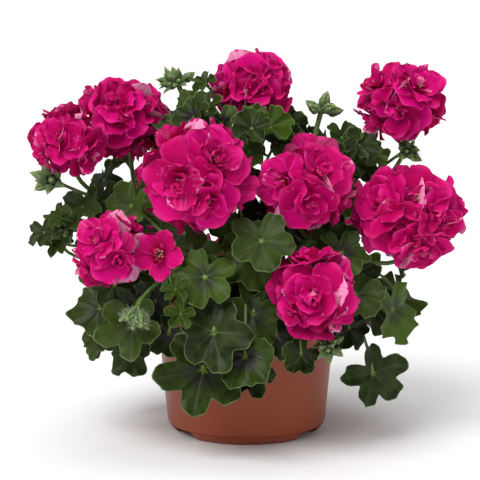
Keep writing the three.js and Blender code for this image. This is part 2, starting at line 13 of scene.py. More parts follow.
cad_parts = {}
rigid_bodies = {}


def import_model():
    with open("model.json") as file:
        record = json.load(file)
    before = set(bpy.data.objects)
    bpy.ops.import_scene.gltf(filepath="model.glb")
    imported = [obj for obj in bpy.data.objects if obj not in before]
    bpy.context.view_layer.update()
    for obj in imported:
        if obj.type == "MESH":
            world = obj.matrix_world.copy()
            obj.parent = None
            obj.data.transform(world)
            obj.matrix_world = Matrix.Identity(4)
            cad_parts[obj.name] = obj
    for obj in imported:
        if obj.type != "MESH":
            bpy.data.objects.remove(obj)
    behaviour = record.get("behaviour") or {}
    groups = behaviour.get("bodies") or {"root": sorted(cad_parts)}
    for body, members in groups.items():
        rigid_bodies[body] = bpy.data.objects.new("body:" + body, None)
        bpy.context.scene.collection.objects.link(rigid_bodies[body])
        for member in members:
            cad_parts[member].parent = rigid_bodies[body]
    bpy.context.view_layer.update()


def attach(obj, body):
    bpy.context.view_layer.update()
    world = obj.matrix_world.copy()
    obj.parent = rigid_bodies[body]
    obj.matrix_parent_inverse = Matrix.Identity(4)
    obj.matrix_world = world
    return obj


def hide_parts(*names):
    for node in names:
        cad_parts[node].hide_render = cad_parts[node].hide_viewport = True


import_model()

MM = 0.001

# Driving dimensions, in millimetres and degrees, as in the part's source

POT = {
    "height": 92,
    "rim_radius": 61.5,
    "rim_height": 8,
    "top_radius": 60,
    "shoulder_radius": 53.3,
    "shoulder_height": 11.5,
    "foot_radius": 46,
    "foot_height": 6,
    "foot_round": ((48.1, 1.4), (51, 4.4), (53, 7.9)),
    "wall": 1.6,
    "notch_width": 29,
    "notch_top_width": 25,
    "notch_turn": 59,
    "drain_radius": 4,
    "drain_circle": 33,
}
GAP = 0.3  # between the mix and the pot
SOIL_TOP = 80
STEM = {"radius": 3, "circle": 17, "depth": 14}
FIRST_NODE = 0.35  # share of a stem below the first thing that it carries
OVER_RIM = {"below": 118, "radius": 72}
DOME = {"radius": 104, "middle": 108, "height": 112}  # the mound that the leaves on the back fill
FOLIAGE = {"lowest": 40, "height": 170}
# A leaf: how far its sides reach for a half-width of 1, where its lobes point from the middle one, the angle,
# depth and width of the clefts between them and of the gap at the petiole, and least and most cup and fold
WIDEST = 0.95
LOBES = (-131, -66, 0, 66, 131)
CLEFTS = ((33, 0.24, 12), (99, 0.28, 13))
BASE_GAP = (180, 0.58, 18)
TOOTH = 23  # degrees from one tooth of its margin to the next
CUP = (-0.06, 0.26)
FOLD = (0.02, 0.14)
FACING = {"to_front": 0.5, "low": 12, "high": 46, "turn": 18, "tip": 12, "roll": 55}
ROOM = {"share": 0.18, "head": 2.5, "pot": 5, "rounds": 90, "step": 0.5, "slide": 0.35, "longest": 4}
GOLDEN = (sqrt(5) - 1) / 2

# lean, reach and rise of each shoot
SHOOTS = (
    (0, 74, 150),
    (45, 60, 142),
    (90, 70, 132),
    (135, 62, 144),
    (180, 74, 150),
    (225, 66, 132),
    (270, 66, 136),
    (315, 64, 138),
    (260, 6, 196),
)
LEADER = 8
CROWN = {"above": 176, "within": 62}  # leaves so high and so near the axis grow from the leader

# middle, radius, shoot, bearing and elevation of each flower head
HEADS = (
    ((-113, -50, 199), 25, 4, 262, 8),
    ((-80, -4, 211), 29, 4, 265, 0),
    ((4, 8, 227), 29, 8, 290, 4),
    ((-32, -82, 180), 37, 6, 253, -12),
    ((38, -61, 172), 32, 7, 285, 10),
    ((101, -10, 220), 31, 0, 255, -5),
    ((104, -48, 152), 37, 7, 275, 15),
    ((-82, -86, 134), 26, 5, 255, 8),
    ((42, -100, 109), 29, 6, 270, 5),
    ((58, 76, 140), 33, 1, 55, 25),
    ((-60, 76, 144), 33, 3, 130, 25),
    ((-6, 97, 100), 28, 2, 90, 10),
)
UNEVEN = (0.99, 1.1)  # least and most reach of a floret, as shares of the radius of its head
# The open floret beside a head, 2.5 mm farther out than its solid
SINGLE = {"head": 7, "at": (29.5, -4, -2), "length": 19, "open": 72}

# The florets that look at the viewer, as steps right and up from the middle of their head. A third
# number is how much larger a floret is than the others.
FLORETS_SEEN = (
    ((-3.3, 0),),
    ((-2, -4), (-4, 14), (16, 8)),
    ((-24, 2), (22, 4), (-2, 6), (14, 21), (2, -17)),
    ((-11, -7, 1.12), (17, 11, 1.05), (10, -20, 0.95)),
    ((8, 9), (1, -15), (-20, 0)),
    ((-5, -9, 1.15), (12, 12)),
    ((-11, -13), (1, 12), (21, -5), (-24, 10), (8, -29)),
    ((-12, 7), (5, -9)),
    ((-2.7, 1, 1.28), (-19, -14, 0.75)),
    (),
    (),
    (),
)

# middle, shoot, count and length of each spray of buds
BUDS = (
    ((-124, -38, 172), 4, 5, 13),
    ((-113, -30, 140), 4, 6, 12),
    ((-45, 2, 231), 8, 6, 11),
    ((48, -20, 214), 7, 6, 12),
    ((103, -14, 188), 0, 5, 11),
    ((-67, -97, 92), 5, 6, 12),
    ((50, -97, 76), 6, 6, 10),
)
UPRIGHT = 205  # sprays above this height stand upright
SHUT = (0.5, 0.2, 0.8, 1, 0.4, 1, 0.5)  # share of closed buds in each spray, the rest are leafy tufts
HAIRY = 5  # the spray that hangs and has long white hairs

# x, y, z and width of each leaf of the front half, and of some the bearing, elevation and turn too
FRONT_LEAVES = (
    # high on the left
    (-106, -30, 154, 36), (-91, -26, 158, 34), (-73, -40, 155, 34), (-96, -12, 169, 32),
    (-84, -14, 152, 26), (-131, -36, 139, 24), (-120, -34, 129, 21),
    # low on the left
    (-95, -46, 93, 40), (-94, -28, 70, 34), (-71, -74, 84, 46, 250, 22, 10), (-72, -58, 66, 36),
    (-87, -50, 109, 36), (-80, -58, 124, 34),
    # the middle
    (-25, -94, 113, 42), (-42, -105, 109, 20), (-39, -106, 100, 20), (-15, -98, 85, 50),
    (-24, -84, 60, 58, 262, 14, -10), (-3, -84, 124, 46), (7, -84, 96, 44), (-6, -102, 77, 42),
    (2, -84, 57, 32), (26, -84, 73, 26), (16, -74, 81, 34), (-23, -76, 142, 34), (-8, -60, 141, 32),
    (17, -86, 140, 44), (57, -70, 137, 36), (2, -70, 107, 40),
    # the right
    (65, -52, 153, 36), (89, -46, 92, 45, 322, 8, 12), (65, -62, 100, 36), (66, -60, 80, 30),
    (81, -54, 49, 44, 285, 12, 45), (63, -48, 116, 36), (77, -46, 126, 36),
    # the top right
    (61, -34, 198, 24), (66, -44, 191, 28), (77, -26, 189, 28), (88, -24, 185, 26), (64, -16, 158, 30),
    (78, -20, 172, 30),
    # the top
    (-25, -6, 232, 20), (-27, -34, 216, 30), (-33, -18, 215, 24), (-32, -44, 209, 28),
    (-12, -18, 214, 30), (5, -34, 209, 24), (14, -40, 201, 28), (22, -36, 195, 26), (-2, -50, 198, 30),
    (6, -52, 186, 26), (28, -20, 197, 26),
    # inside, behind the others
    (-54, -58, 94, 36), (-48, -64, 80, 30), (-59, -46, 106, 34), (10, -66, 96, 34), (60, -36, 133, 32),
    (8, -34, 150, 30), (28, -26, 140, 36), (-40, -46, 139, 34), (-12, -14, 188, 28),
    (-63, -20, 159, 32), (-77, -22, 137, 34), (60, 0, 174, 28), (82, -14, 147, 30), (-20, -62, 94, 32),
    (54, -46, 95, 34), (-2, -56, 98, 32), (-118, -40, 148, 22), (5, -44, 171, 28), (-44, -20, 207, 26),
    (85, -18, 194, 24),
)
BACK_LEAVES = {"count": 28, "turn": 0.3, "lowest": 56, "highest": 204, "width": 48, "least": 34}

# The camera, from the photograph: it looks down a little, from well back

VIEW = {"aim": (-4.3, 0, 128), "elevation": 8, "distance": 1200, "lens": 135.3}


# Small helpers


def mix(a, b, share):
    return a + (b - a) * share


def clamp(value, low=0.0, high=1.0):
    return min(high, max(low, value))


def unit(v):
    length = np.linalg.norm(v)
    return v / length if length > 0 else v


def on_circle(radius, degrees, z):
    angle = radians(degrees)
    return np.array([radius * cos(angle), radius * sin(angle), z])


def bearing_of(place):
    return math.degrees(math.atan2(place[1], place[0]))


def turned_about(v, axis, degrees):
    angle = radians(degrees)
    around = cos(angle) * v + sin(angle) * np.cross(axis, v)
    return around + (1 - cos(angle)) * np.dot(axis, v) * axis


def draw(seed):
    """A number from 0 to 1 that is always the same for the same seed."""
    s = sin(seed * 12.9898 + 4.1414) * 43758.5453
    return s - math.floor(s)


def spread(most, seed):
    return mix(-most, most, draw(seed))


# The leaves and where they settle


def from_lobe(angle):
    """How far an angle is from the nearest lobe, in degrees and with its sign."""
    return min((angle - lobe for lobe in LOBES), key=abs)


def edge_reach(angle, deeper=1.0, teeth=0.0):
    """The distance from the petiole to the edge of a leaf of half-width 1."""
    away = abs(angle)
    reach = mix(0.82, 1, cos(radians(away) / 2) ** 2)
    for middle, depth, width in CLEFTS:
        reach *= 1 - deeper * depth * exp(-(((away - middle) / width) ** 2))
    middle, depth, width = BASE_GAP
    reach *= 1 - depth * exp(-(((away - middle) / width) ** 2))
    if teeth:
        off = from_lobe(angle)
        reach *= 1 + teeth * cos(radians(off * 360 / TOOTH)) * max(0, 1 - (off / 30) ** 2)
    return reach


def fold_at(angle):
    return min(1, abs(from_lobe(angle)) / 33) ** 2


def dome_radius(z):
    return DOME["radius"] * sqrt(max(0.02, 1 - ((z - DOME["middle"]) / DOME["height"]) ** 2))


class Leaf:
    """A leaf faces out from the mound and up to the light, and its middle lobe hangs."""

    def __init__(self, number, at, width, bearing=None, elevation=None, turn=None):
        self.number = number
        self.at = np.array(at, float)
        self.home = self.at.copy()
        self.width = width
        self.half = width / 2 / WIDEST
        seed = number * 7.3
        from_front = (bearing_of(self.at) + 270) % 360 - 180
        to_front = FACING["to_front"] if self.at[1] < 0 else 0
        own = 270 + mix(from_front, 0, to_front) + spread(FACING["turn"], seed)
        height = clamp((self.at[2] - FOLIAGE["lowest"]) / FOLIAGE["height"])
        rise = mix(FACING["low"], FACING["high"], height) + spread(FACING["tip"], seed + 1)
        bearing = own if bearing is None else bearing
        elevation = radians(rise if elevation is None else elevation)
        out = on_circle(1, bearing, 0)
        self.face = out * cos(elevation) + np.array([0, 0, sin(elevation)])
        hang = 0.4 * out - np.array([0, 0, 1])
        mid = unit(hang - np.dot(hang, self.face) * self.face)
        turn = spread(FACING["roll"], seed + 2) if turn is None else turn
        self.mid = turned_about(mid, self.face, turn)
        self.side = np.cross(self.mid, self.face)
        self.cup = mix(*CUP, draw(seed + 3))
        self.fold = mix(*FOLD, draw(seed + 4))


def make_leaves():
    leaves = []
    for x, y, z, width, *facing in FRONT_LEAVES:
        leaves.append(Leaf(len(leaves) + 1, (x, y, z), width, *facing))
    b = BACK_LEAVES
    for i in range(b["count"]):
        height = (i + 0.5) / b["count"]
        z = mix(b["lowest"], b["highest"], height)
        at = on_circle(dome_radius(z), 180 * ((i * GOLDEN + b["turn"]) % 1), z)
        leaves.append(Leaf(len(leaves) + 1, at, mix(b["width"], b["least"], height)))
    return leaves


def settle(leaves):
    """Moves leaves apart, out of the flower heads and off the pot, as the part's source does."""
    feelers = [(0, 0)] + [(60 * i - 180, 0.5) for i in range(6)]
    feelers += [(36 * i - 180, 0.92) for i in range(10)]
    rise = POT["height"] + ROOM["pot"]
    felt_at = []
    for leaf in leaves:
        steps = []
        for angle, share in feelers:
            reach, turn = share * edge_reach(angle), radians(angle)
            lift = leaf.cup * reach**2 + leaf.fold * reach * fold_at(angle)
            across = leaf.side * reach * sin(turn) + leaf.mid * reach * cos(turn)
            steps.append(leaf.half * (across + leaf.face * lift))
        felt_at.append(steps)
    felt_at = np.array(felt_at)
    halves = np.array([leaf.half for leaf in leaves])
    faces = np.array([leaf.face for leaf in leaves])
    at = np.array([leaf.at for leaf in leaves])
    first, second = np.triu_indices(len(leaves), 1)
    room = ROOM["share"] * (halves[first] + halves[second])
    for _ in range(ROOM["rounds"]):
        felt = at[:, None, :] + felt_at
        moves = np.zeros_like(at)
        close = np.linalg.norm(at[first] - at[second], axis=1) <= halves[first] + halves[second] + room
        a, b, need = first[close], second[close], room[close]
        gaps = np.linalg.norm(felt[a][:, :, None, :] - felt[b][:, None, :, :], axis=3).min(axis=(1, 2))
        touch = gaps < need
        a, b, need, gaps = a[touch], b[touch], need[touch], gaps[touch]
        for i, j, least, gap in zip(a, b, need, gaps):
            outward = unit(faces[i] + faces[j])
            apart = at[i] - at[j]
            ahead = 1 if np.dot(apart, outward) >= 0 else -1
            push = (least - gap) * ROOM["step"] * 0.5 * ahead
            slide = unit(apart - np.dot(apart, outward) * outward) * abs(push) * ROOM["slide"]
            moves[i] += outward * push + slide
            moves[j] -= outward * push + slide
        for i in range(len(leaves)):
            for middle, radius, *_rest in HEADS:
                middle = np.array(middle, float)
                depth = (radius + ROOM["head"] - np.linalg.norm(felt[i] - middle, axis=1)).max()
                if depth > 0:
                    moves[i] += unit(at[i] - middle) * depth * ROOM["step"]
            p = felt[i]
            clear = POT["rim_radius"] + ROOM["pot"] - np.hypot(p[:, 0], p[:, 1])
            clear = np.where(p[:, 2] < rise, clear, 0)
            in_pot = max(0, np.minimum(clear, rise - p[:, 2] + 20).max())
            out = unit(np.array([at[i][0], at[i][1], 0]))
            if in_pot > 0:
                moves[i] += out * (in_pot + max(0, -np.dot(moves[i], out)))
            length = np.linalg.norm(moves[i])
            at[i] += moves[i] * min(1, ROOM["longest"] / length) if length else 0
    for leaf, place in zip(leaves, at):
        leaf.at = place


# The stems and what they carry


def stem_point(shoot, share):
    """A point on a shoot's stem, on a centripetal curve through its foot, knee, arm and tip."""
    lean, reach, rise = SHOOTS[shoot]
    foot = on_circle(STEM["circle"], lean, SOIL_TOP + 2)
    if reach < STEM["circle"]:
        foot = np.array([0, 0, SOIL_TOP + 2], float)
    tip = on_circle(reach, lean, rise)
    up = np.array([0, 0, rise - SOIL_TOP], float)
    points = [foot, mix(foot, tip, 0.3) + 0.16 * up, mix(foot, tip, 0.68) + 0.12 * up, tip]
    span = min(int(share * 3), 2)
    t = share * 3 - span
    p1, p2 = points[span], points[span + 1]
    p0 = points[span - 1] if span > 0 else 2 * p1 - p2
    p3 = points[span + 2] if span < 2 else 2 * p2 - p1
    d0, d1, d2 = (sqrt(np.linalg.norm(v)) for v in (p1 - p0, p2 - p1, p3 - p2))
    t1 = ((p1 - p0) / d0 - (p2 - p0) / (d0 + d1) + (p2 - p1) / d1) * d1
    t2 = ((p2 - p1) / d1 - (p3 - p1) / (d1 + d2) + (p3 - p2) / d2) * d1
    return p1 + t1 * t + (3 * (p2 - p1) - 2 * t1 - t2) * t**2 + (2 * (p1 - p2) + t1 + t2) * t**3


def shoot_of(home):
    """The shoot that a leaf grows from: the leader for the crown, or the one that leans its way."""
    if home[2] > CROWN["above"] and hypot(home[0], home[1]) < CROWN["within"]:
        return LEADER
    return int((bearing_of(home) + 360) / 45 + 0.5) % LEADER


def bezier(points, share):
    while len(points) > 1:
        points = [mix(a, b, share) for a, b in zip(points, points[1:])]
    return points[0]


def arm(foot, end, coming, count):
    """The way from the end back to the foot on the stem, over the rim if the end hangs low."""
    low = max(0, OVER_RIM["below"] - end[2])
    if low == 0:
        points = [end, end + coming * 0.4 * np.linalg.norm(foot - end), foot]
    else:
        bearing = bearing_of(end)
        near = end + coming * 10
        clear = max(OVER_RIM["radius"], hypot(near[0], near[1]))
        side = on_circle(clear, bearing, end[2] + 0.55 * low)
        above = on_circle(OVER_RIM["radius"] - 4, bearing, max(OVER_RIM["below"] + 4, foot[2]))
        points = [end, side, above, foot]
    return [bezier(points, i / (count - 1)) for i in range(count)]


def head_axes(head):
    bearing, elevation = HEADS[head][3:]
    angle = radians(elevation)
    face = on_circle(cos(angle), bearing, sin(angle))
    side = unit(np.cross([0, 0, 1], face))
    return face, side, np.cross(face, side)


def stalk_entry(head):
    face = head_axes(head)[0]
    down = 0.9 * clamp((HEADS[head][0][2] - 100) / 55)
    return unit(np.array([-0.75 * face[0], -0.75 * face[1], -down]))


# Meshes, trees and finishes


def linked(obj):
    bpy.context.scene.collection.objects.link(obj)
    return obj


def mesh_object(name, points, edges=(), faces=(), **attributes):
    """A linked object with a mesh, in metres, and one value or vector for each point."""
    mesh = bpy.data.meshes.new(name)
    mesh.from_pydata([tuple(p) for p in points], list(edges), list(faces))
    for label, values in attributes.items():
        values = np.asarray(values)
        if values.ndim == 2:
            kind, field = "FLOAT_VECTOR", "vector"
        else:
            kind, field = ("INT" if values.dtype.kind == "i" else "FLOAT"), "value"
        layer = mesh.attributes.new(label, kind, "POINT")
        layer.data.foreach_set(field, values.ravel())
    if faces:
        mesh.shade_smooth()
    return linked(bpy.data.objects.new(name, mesh))


def shelf(name, shapes):
    """A collection of the shapes that a tree picks from, in order of their names."""
    made = bpy.data.collections.new(name)
    bpy.context.scene.collection.children.link(made)
    for shape in shapes:
        made.objects.link(shape)
        bpy.context.scene.collection.objects.unlink(shape)
    return made


def fill(tree, node, links):
    """Gives a node's inputs a value, a colour as a hex code, a node or another node's output."""
    for key, value in links.items():
        if isinstance(key, int):
            socket = node.inputs[key]
        else:
            socket = next(s for s in node.inputs if s.name == key and s.enabled)
        if isinstance(value, bpy.types.Node):
            value = next(s for s in value.outputs if s.enabled)
        if isinstance(value, bpy.types.NodeSocket):
            tree.links.new(value, socket)
        elif isinstance(value, str) and value.startswith("#"):
            socket.default_value = ink(value)
        else:
            socket.default_value = value
    return node


def add(tree, kind, links=None, **settings):
    """Adds a node with its settings and links."""
    made = tree.nodes.new(kind)
    for name, value in settings.items():
        setattr(made, name, value)
    return fill(tree, made, links or {})


def add_each(tree, kind, sockets, rows, **settings):
    """Adds a node for each row of what goes into the sockets."""
    return [add(tree, kind, dict(zip(sockets, row)), **settings) for row in rows]


def add_chain(tree, kind, sockets, value, rows, **settings):
    """Adds a node for each row. The first socket of each takes the node before it, or first the value."""
    for row in rows:
        value = add(tree, kind, dict(zip(sockets, (value, *row))), **settings)
    return value


def new_tree(name, **inputs):
    """A tree of geometry nodes with a geometry and its named inputs, and what it is given."""
    tree = bpy.data.node_groups.new(name, "GeometryNodeTree")
    tree.interface.new_socket(name="Geometry", in_out="INPUT", socket_type="NodeSocketGeometry")
    for label, kind in inputs.items():
        tree.interface.new_socket(name=label, in_out="INPUT", socket_type="NodeSocket" + kind)
    tree.interface.new_socket(name="Geometry", in_out="OUTPUT", socket_type="NodeSocketGeometry")
    return tree, tree.nodes.new("NodeGroupInput").outputs


def close_tree(tree, geometry, finish):
    """Ends a tree in Realize Instances and Set Material."""
    real = add(tree, "GeometryNodeRealizeInstances", {"Geometry": geometry})
    dressed = add(tree, "GeometryNodeSetMaterial", {"Geometry": real, "Material": finish})
    add(tree, "NodeGroupOutput", {"Geometry": dressed})
    return tree


def grown(obj, tree, **values):
    """Runs a tree on an object and leaves the result as its plain mesh."""
    modifier = obj.modifiers.new("growth", "NODES")
    modifier.node_group = tree
    for item in tree.interface.items_tree:
        if item.in_out == "INPUT" and item.name in values:
            modifier[item.identifier] = values[item.name]
    return plain(obj)


def plain(obj):
    """Leaves an object with what its modifiers make as its own mesh."""
    depsgraph = bpy.context.evaluated_depsgraph_get()
    mesh = bpy.data.meshes.new_from_object(
        obj.evaluated_get(depsgraph), preserve_all_data_layers=True, depsgraph=depsgraph
    )
    if mesh.materials and mesh.materials[0] is None:
        mesh.materials.pop(index=0)
    obj.modifiers.clear()
    obj.data = mesh
    return obj


def piece(name, parts, node):
    """Joins parts into one piece that rides on the plant and stands for its CAD node."""
    whole = parts[0]
    if len(parts) > 1:
        with bpy.context.temp_override(
            active_object=whole, object=whole, selected_objects=parts, selected_editable_objects=parts
        ):
            bpy.ops.object.join()
    whole.name = name
    whole.data.name = name
    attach(whole, "root")
    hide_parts(node)


# Finishes


def ink(code):
    """An sRGB hex colour as linear red, green, blue and alpha."""
    parts = [int(code[i : i + 2], 16) / 255 for i in (1, 3, 5)]
    return (*[c / 12.92 if c <= 0.04045 else ((c + 0.055) / 1.055) ** 2.4 for c in parts], 1)


def new_finish(name):
    made = bpy.data.materials.new(name)
    made.use_nodes = True
    return made, made.node_tree


def finished(made, colour, shader, relief=None):
    """Gives a finish its colour and its shader's values. A relief is a height, its strength and its depth
    in mm."""
    tree = made.node_tree
    links = {"Base Color": colour, **shader}
    if relief:
        height, strength, depth = relief
        links["Normal"] = add(
            tree, "ShaderNodeBump", {"Height": height, "Strength": strength, "Distance": depth * MM}
        )
    fill(tree, tree.nodes["Principled BSDF"], links)
    return made


def per(size):
    """The scale of a pattern whose lumps are so many mm across."""
    return 1 / (size * MM)


# What goes into the sockets of a fade: what it follows, where that begins and ends, and the strength at
# both places. And of a layer of colour: what is below it, its share and its own colour.
FADE = ("Value", "From Min", "From Max", "To Min", "To Max")
LAYER = ("A", "Factor", "B")


def fleshy_leaf():
    """A leaf of ivy geranium: thick, waxed and a little wet-looking, so it has a broad soft gloss. Dark green
    with a purple-brown zone round the petiole and fine paler veins. Its thin pale margin is a painted rim
    highlight, and leaves deep in the plant get a near-black painted shade."""
    made, tree = new_finish("waxy_fleshy_leaf")
    place = add(tree, "ShaderNodeTexCoord").outputs["Object"]
    blade = add(tree, "ShaderNodeAttribute", attribute_name="blade").outputs["Vector"]
    tone = add(tree, "ShaderNodeAttribute", attribute_name="tone").outputs["Vector"]
    across, along, share = add(tree, "ShaderNodeSeparateXYZ", {0: blade}).outputs
    light, zone, yellow = add(tree, "ShaderNodeSeparateXYZ", {0: tone}).outputs
    mottle = add(tree, "ShaderNodeTexNoise", {"Vector": place, "Scale": per(7), "Detail": 3.0})
    fine = add(tree, "ShaderNodeTexNoise", {"Vector": place, "Scale": per(1.1), "Detail": 2.0})
    # how light the green is: the leaf's tone, which holds its random lightness and its painted shade, with a
    # mottle
    depth = add(tree, "ShaderNodeMath", {0: light, 1: mottle}, operation="ADD")
    fades = [(depth, 0.45, 1.5), (mottle, 0.0, 1.0, 0.32, 0.48)]
    depth, gloss = add_each(tree, "ShaderNodeMapRange", FADE, fades)
    # main veins run along the middle of each lobe, thinner to its end. Side veins leave them at about
    # 45 degrees, five to a lobe
    left = add(tree, "ShaderNodeMath", {0: 1.15, 1: share}, operation="SUBTRACT")
    line = add(tree, "ShaderNodeMath", {0: across, 1: left}, operation="DIVIDE")
    slant = add(tree, "ShaderNodeMath", {0: along, 1: across}, operation="SUBTRACT")
    slant = add(tree, "ShaderNodeMath", {0: slant, 1: 4.6}, operation="MULTIPLY")
    comb = add(tree, "ShaderNodeMath", {0: slant, 1: 0.5}, operation="PINGPONG")
    fades = [
        (line, 0.012, 0.045, 1.0, 0.0),
        (comb, 0.0, 0.07, 0.45, 0.0),
        (share, 0.05, 0.18),
        (share, 0.3, 0.62, 1.0, 0.0),
        (share, 0.03, 0.13, 0.4, 0.0),
        (share, 0.962, 0.992, 0.0, 0.46),
    ]
    main, side, inner, outer, point, painted_rim_highlight = add_each(
        tree, "ShaderNodeMapRange", FADE, fades, interpolation_type="SMOOTHSTEP"
    )
    veins = add(tree, "ShaderNodeMath", {0: main, 1: side}, operation="MAXIMUM")
    pale = add(tree, "ShaderNodeMath", {0: veins, 1: 0.07}, operation="MULTIPLY")
    # the dark zone lies about a third of the way out
    dark = add_chain(tree, "ShaderNodeMath", (0, 1), inner, [(outer,), (zone,)], operation="MULTIPLY")
    layers = [
        # lighter green as the tone rises. A low tone, as in painted shade, leaves the near-black green below
        (depth, "#3f531d"),
        (yellow, "#486612"),
        (pale, "#7d9a58"),
        (dark, "#2b2329"),
        # the bright point where the petiole meets the blade
        (point, "#93ad45"),
        # a thin pale band all round the blade: a painted rim highlight, for light catching turned-up edges
        (painted_rim_highlight, "#93ab6c"),
    ]
    green = add_chain(tree, "ShaderNodeMix", LAYER, "#0b1204", layers, data_type="RGBA")
    height = add(tree, "ShaderNodeMath", {0: fine, 1: 0.35}, operation="MULTIPLY")
    height = add(tree, "ShaderNodeMath", {0: height, 1: veins}, operation="SUBTRACT")
    wax = {"Roughness": gloss, "IOR": 1.45, "Specular IOR Level": 0.18}
    return finished(made, green, wax, (height, 0.35, 0.4))


def velvet_petal():
    """A petal: soft and matt with a faint sheen, magenta with darker streaks from its root on the face, and
    pale pink with veins on the back. The face is painted darker at its root, as painted shade, and lighter at
    its edge, as a painted highlight."""
    made, tree = new_finish("velvet_petal")
    petal = add(tree, "ShaderNodeAttribute", attribute_name="petal").outputs["Vector"]
    tone = add(tree, "ShaderNodeAttribute", attribute_name="tone").outputs["Vector"]
    across, along, back = add(tree, "ShaderNodeSeparateXYZ", {0: petal}).outputs
    light, fleck, red = add(tree, "ShaderNodeSeparateXYZ", {0: tone}).outputs
    # streaks about 1.5 mm apart that fan out from the root
    fan = add(tree, "ShaderNodeMapping", {"Vector": petal, "Scale": (7.0, 1.1, 0.0)})
    shift = add(tree, "ShaderNodeCombineXYZ", {"Z": light})
    fan = add(tree, "ShaderNodeVectorMath", {0: fan, 1: shift}, operation="ADD")
    streak = add(tree, "ShaderNodeTexNoise", {"Vector": fan, "Scale": 1.0, "Detail": 3.0})
    deep = add(tree, "ShaderNodeMath", {0: streak, 1: light}, operation="ADD")
    deep, veined = add_each(tree, "ShaderNodeMapRange", FADE, [(deep, 0.4, 1.5), (streak, 0.35, 0.65)])
    wide = add(tree, "ShaderNodeMath", {0: across}, operation="ABSOLUTE")
    edge = add(tree, "ShaderNodeMath", {0: wide, 1: along}, operation="MAXIMUM")
    # darker towards the root, as painted shade, and lighter at the edge, as a painted highlight
    fades = [(along, 0.04, 0.4, 0.6, 0.0), (edge, 0.8, 1.0, 0.0, 0.3), (streak, 0.48, 0.62)]
    painted_root_shade, edge, flecked = add_each(
        tree, "ShaderNodeMapRange", FADE, fades, interpolation_type="SMOOTHSTEP"
    )
    rows = [(fleck,), (0.16,)]
    flecked = add_chain(tree, "ShaderNodeMath", (0, 1), flecked, rows, operation="MULTIPLY")
    layers = [
        (deep, "#cb0576"),
        # painted shade: darker towards the root, in the heart of the floret
        (painted_root_shade, "#850236"),
        # painted highlight: lighter pink at the edge, for light glowing through the thin rim
        (edge, "#f04a9c"),
        (red, "#bd0f3a"),
        (flecked, "#f690be"),
    ]
    face = add_chain(tree, "ShaderNodeMix", LAYER, "#ae0256", layers, data_type="RGBA")
    shades = [("#e474ac", veined, "#f2a4c8"), ("#c00862", veined, "#d6247f")]
    pale, dull = add_each(tree, "ShaderNodeMix", LAYER, shades, data_type="RGBA")
    under = add(tree, "ShaderNodeMix", {"A": dull, "Factor": fleck, "B": pale}, data_type="RGBA")
    colour = add(tree, "ShaderNodeMix", {"A": face, "Factor": back, "B": under}, data_type="RGBA")
    velvet = {"Roughness": 0.7, "IOR": 1.35, "Specular IOR Level": 0.12}
    return finished(made, colour, velvet, (streak, 0.3, 0.4))


def green_stalk():
    """Stems, petioles and flower stalks: juicy green, paler than the leaves, with short streaks."""
    made, tree = new_finish("juicy_green_stalk")
    place = add(tree, "ShaderNodeTexCoord").outputs["Object"]
    streaks = add(tree, "ShaderNodeTexNoise", {"Vector": place, "Scale": per(4), "Detail": 3.0})
    colour = {"A": "#3f5a22", "Factor": streaks, "B": "#6f8c42"}
    colour = add(tree, "ShaderNodeMix", colour, data_type="RGBA")
    return finished(made, colour, {"Roughness": 0.5}, (streaks, 0.3, 0.3))


def downy_bud():
    """Buds and sepals: matt green with paler ribs and a paler tip, in short down."""
    made, tree = new_finish("downy_green_bud")
    place = add(tree, "ShaderNodeTexCoord").outputs["Object"]
    bud = add(tree, "ShaderNodeAttribute", attribute_name="bud").outputs["Vector"]
    along, rib, _ = add(tree, "ShaderNodeSeparateXYZ", {0: bud}).outputs
    down = add(tree, "ShaderNodeTexNoise", {"Vector": place, "Scale": per(1.5), "Detail": 3.0})
    ribs = add(tree, "ShaderNodeMath", {0: rib, 1: 0.35}, operation="MULTIPLY")
    fade = dict(zip(FADE, (along, 0.75, 1.0, 0.0, 0.6)))
    tip = add(tree, "ShaderNodeMapRange", fade, interpolation_type="SMOOTHSTEP")
    layers = [(down, "#4c6c30"), (ribs, "#93ab5c"), (tip, "#a9bd72")]
    colour = add_chain(tree, "ShaderNodeMix", LAYER, "#2a441a", layers, data_type="RGBA")
    return finished(made, colour, {"Roughness": 0.65, "Sheen Weight": 0.2}, (down, 0.4, 0.3))


def white_down():
    """The white hairs on buds: fine and dull, so they read as a pale bloom."""
    made, tree = new_finish("white_plant_hair")
    place = add(tree, "ShaderNodeTexCoord").outputs["Object"]
    cloud = add(tree, "ShaderNodeTexNoise", {"Vector": place, "Scale": per(3)})
    colour = {"A": "#aebb98", "Factor": cloud, "B": "#eef0e4"}
    return finished(made, add(tree, "ShaderNodeMix", colour, data_type="RGBA"), {"Roughness": 0.7})


def moulded_pot():
    """Polypropylene, injection moulded in terracotta brown: satin, with a fine mould grain and very even."""
    made, tree = new_finish("satin_moulded_polypropylene")
    place = add(tree, "ShaderNodeTexCoord").outputs["Object"]
    cloud, grain = (
        add(tree, "ShaderNodeTexNoise", {"Vector": place, "Scale": per(size)}) for size in (30, 0.6)
    )
    gloss = add(tree, "ShaderNodeMapRange", {"Value": cloud, "To Min": 0.34, "To Max": 0.46})
    colour = {"A": "#8c3f24", "Factor": cloud, "B": "#984628"}
    colour = add(tree, "ShaderNodeMix", colour, data_type="RGBA")
    satin = {"Roughness": gloss, "IOR": 1.49, "Specular IOR Level": 0.3}
    return finished(made, colour, satin, (grain, 0.12, 0.2))


def potting_mix():
    """Peat and bark: dark brown, dull and crumbly, with lighter specks."""
    made, tree = new_finish("damp_peat_mix")
    place = add(tree, "ShaderNodeTexCoord").outputs["Object"]
    links = {"Vector": place, "Scale": per(5), "Detail": 6.0, "Roughness": 0.7}
    lumps = add(tree, "ShaderNodeTexNoise", links)
    colour = {"A": "#1d1410", "Factor": lumps, "B": "#4a3629"}
    colour = add(tree, "ShaderNodeMix", colour, data_type="RGBA")
    return finished(made, colour, {"Roughness": 0.9}, (lumps, 0.8, 1.5))


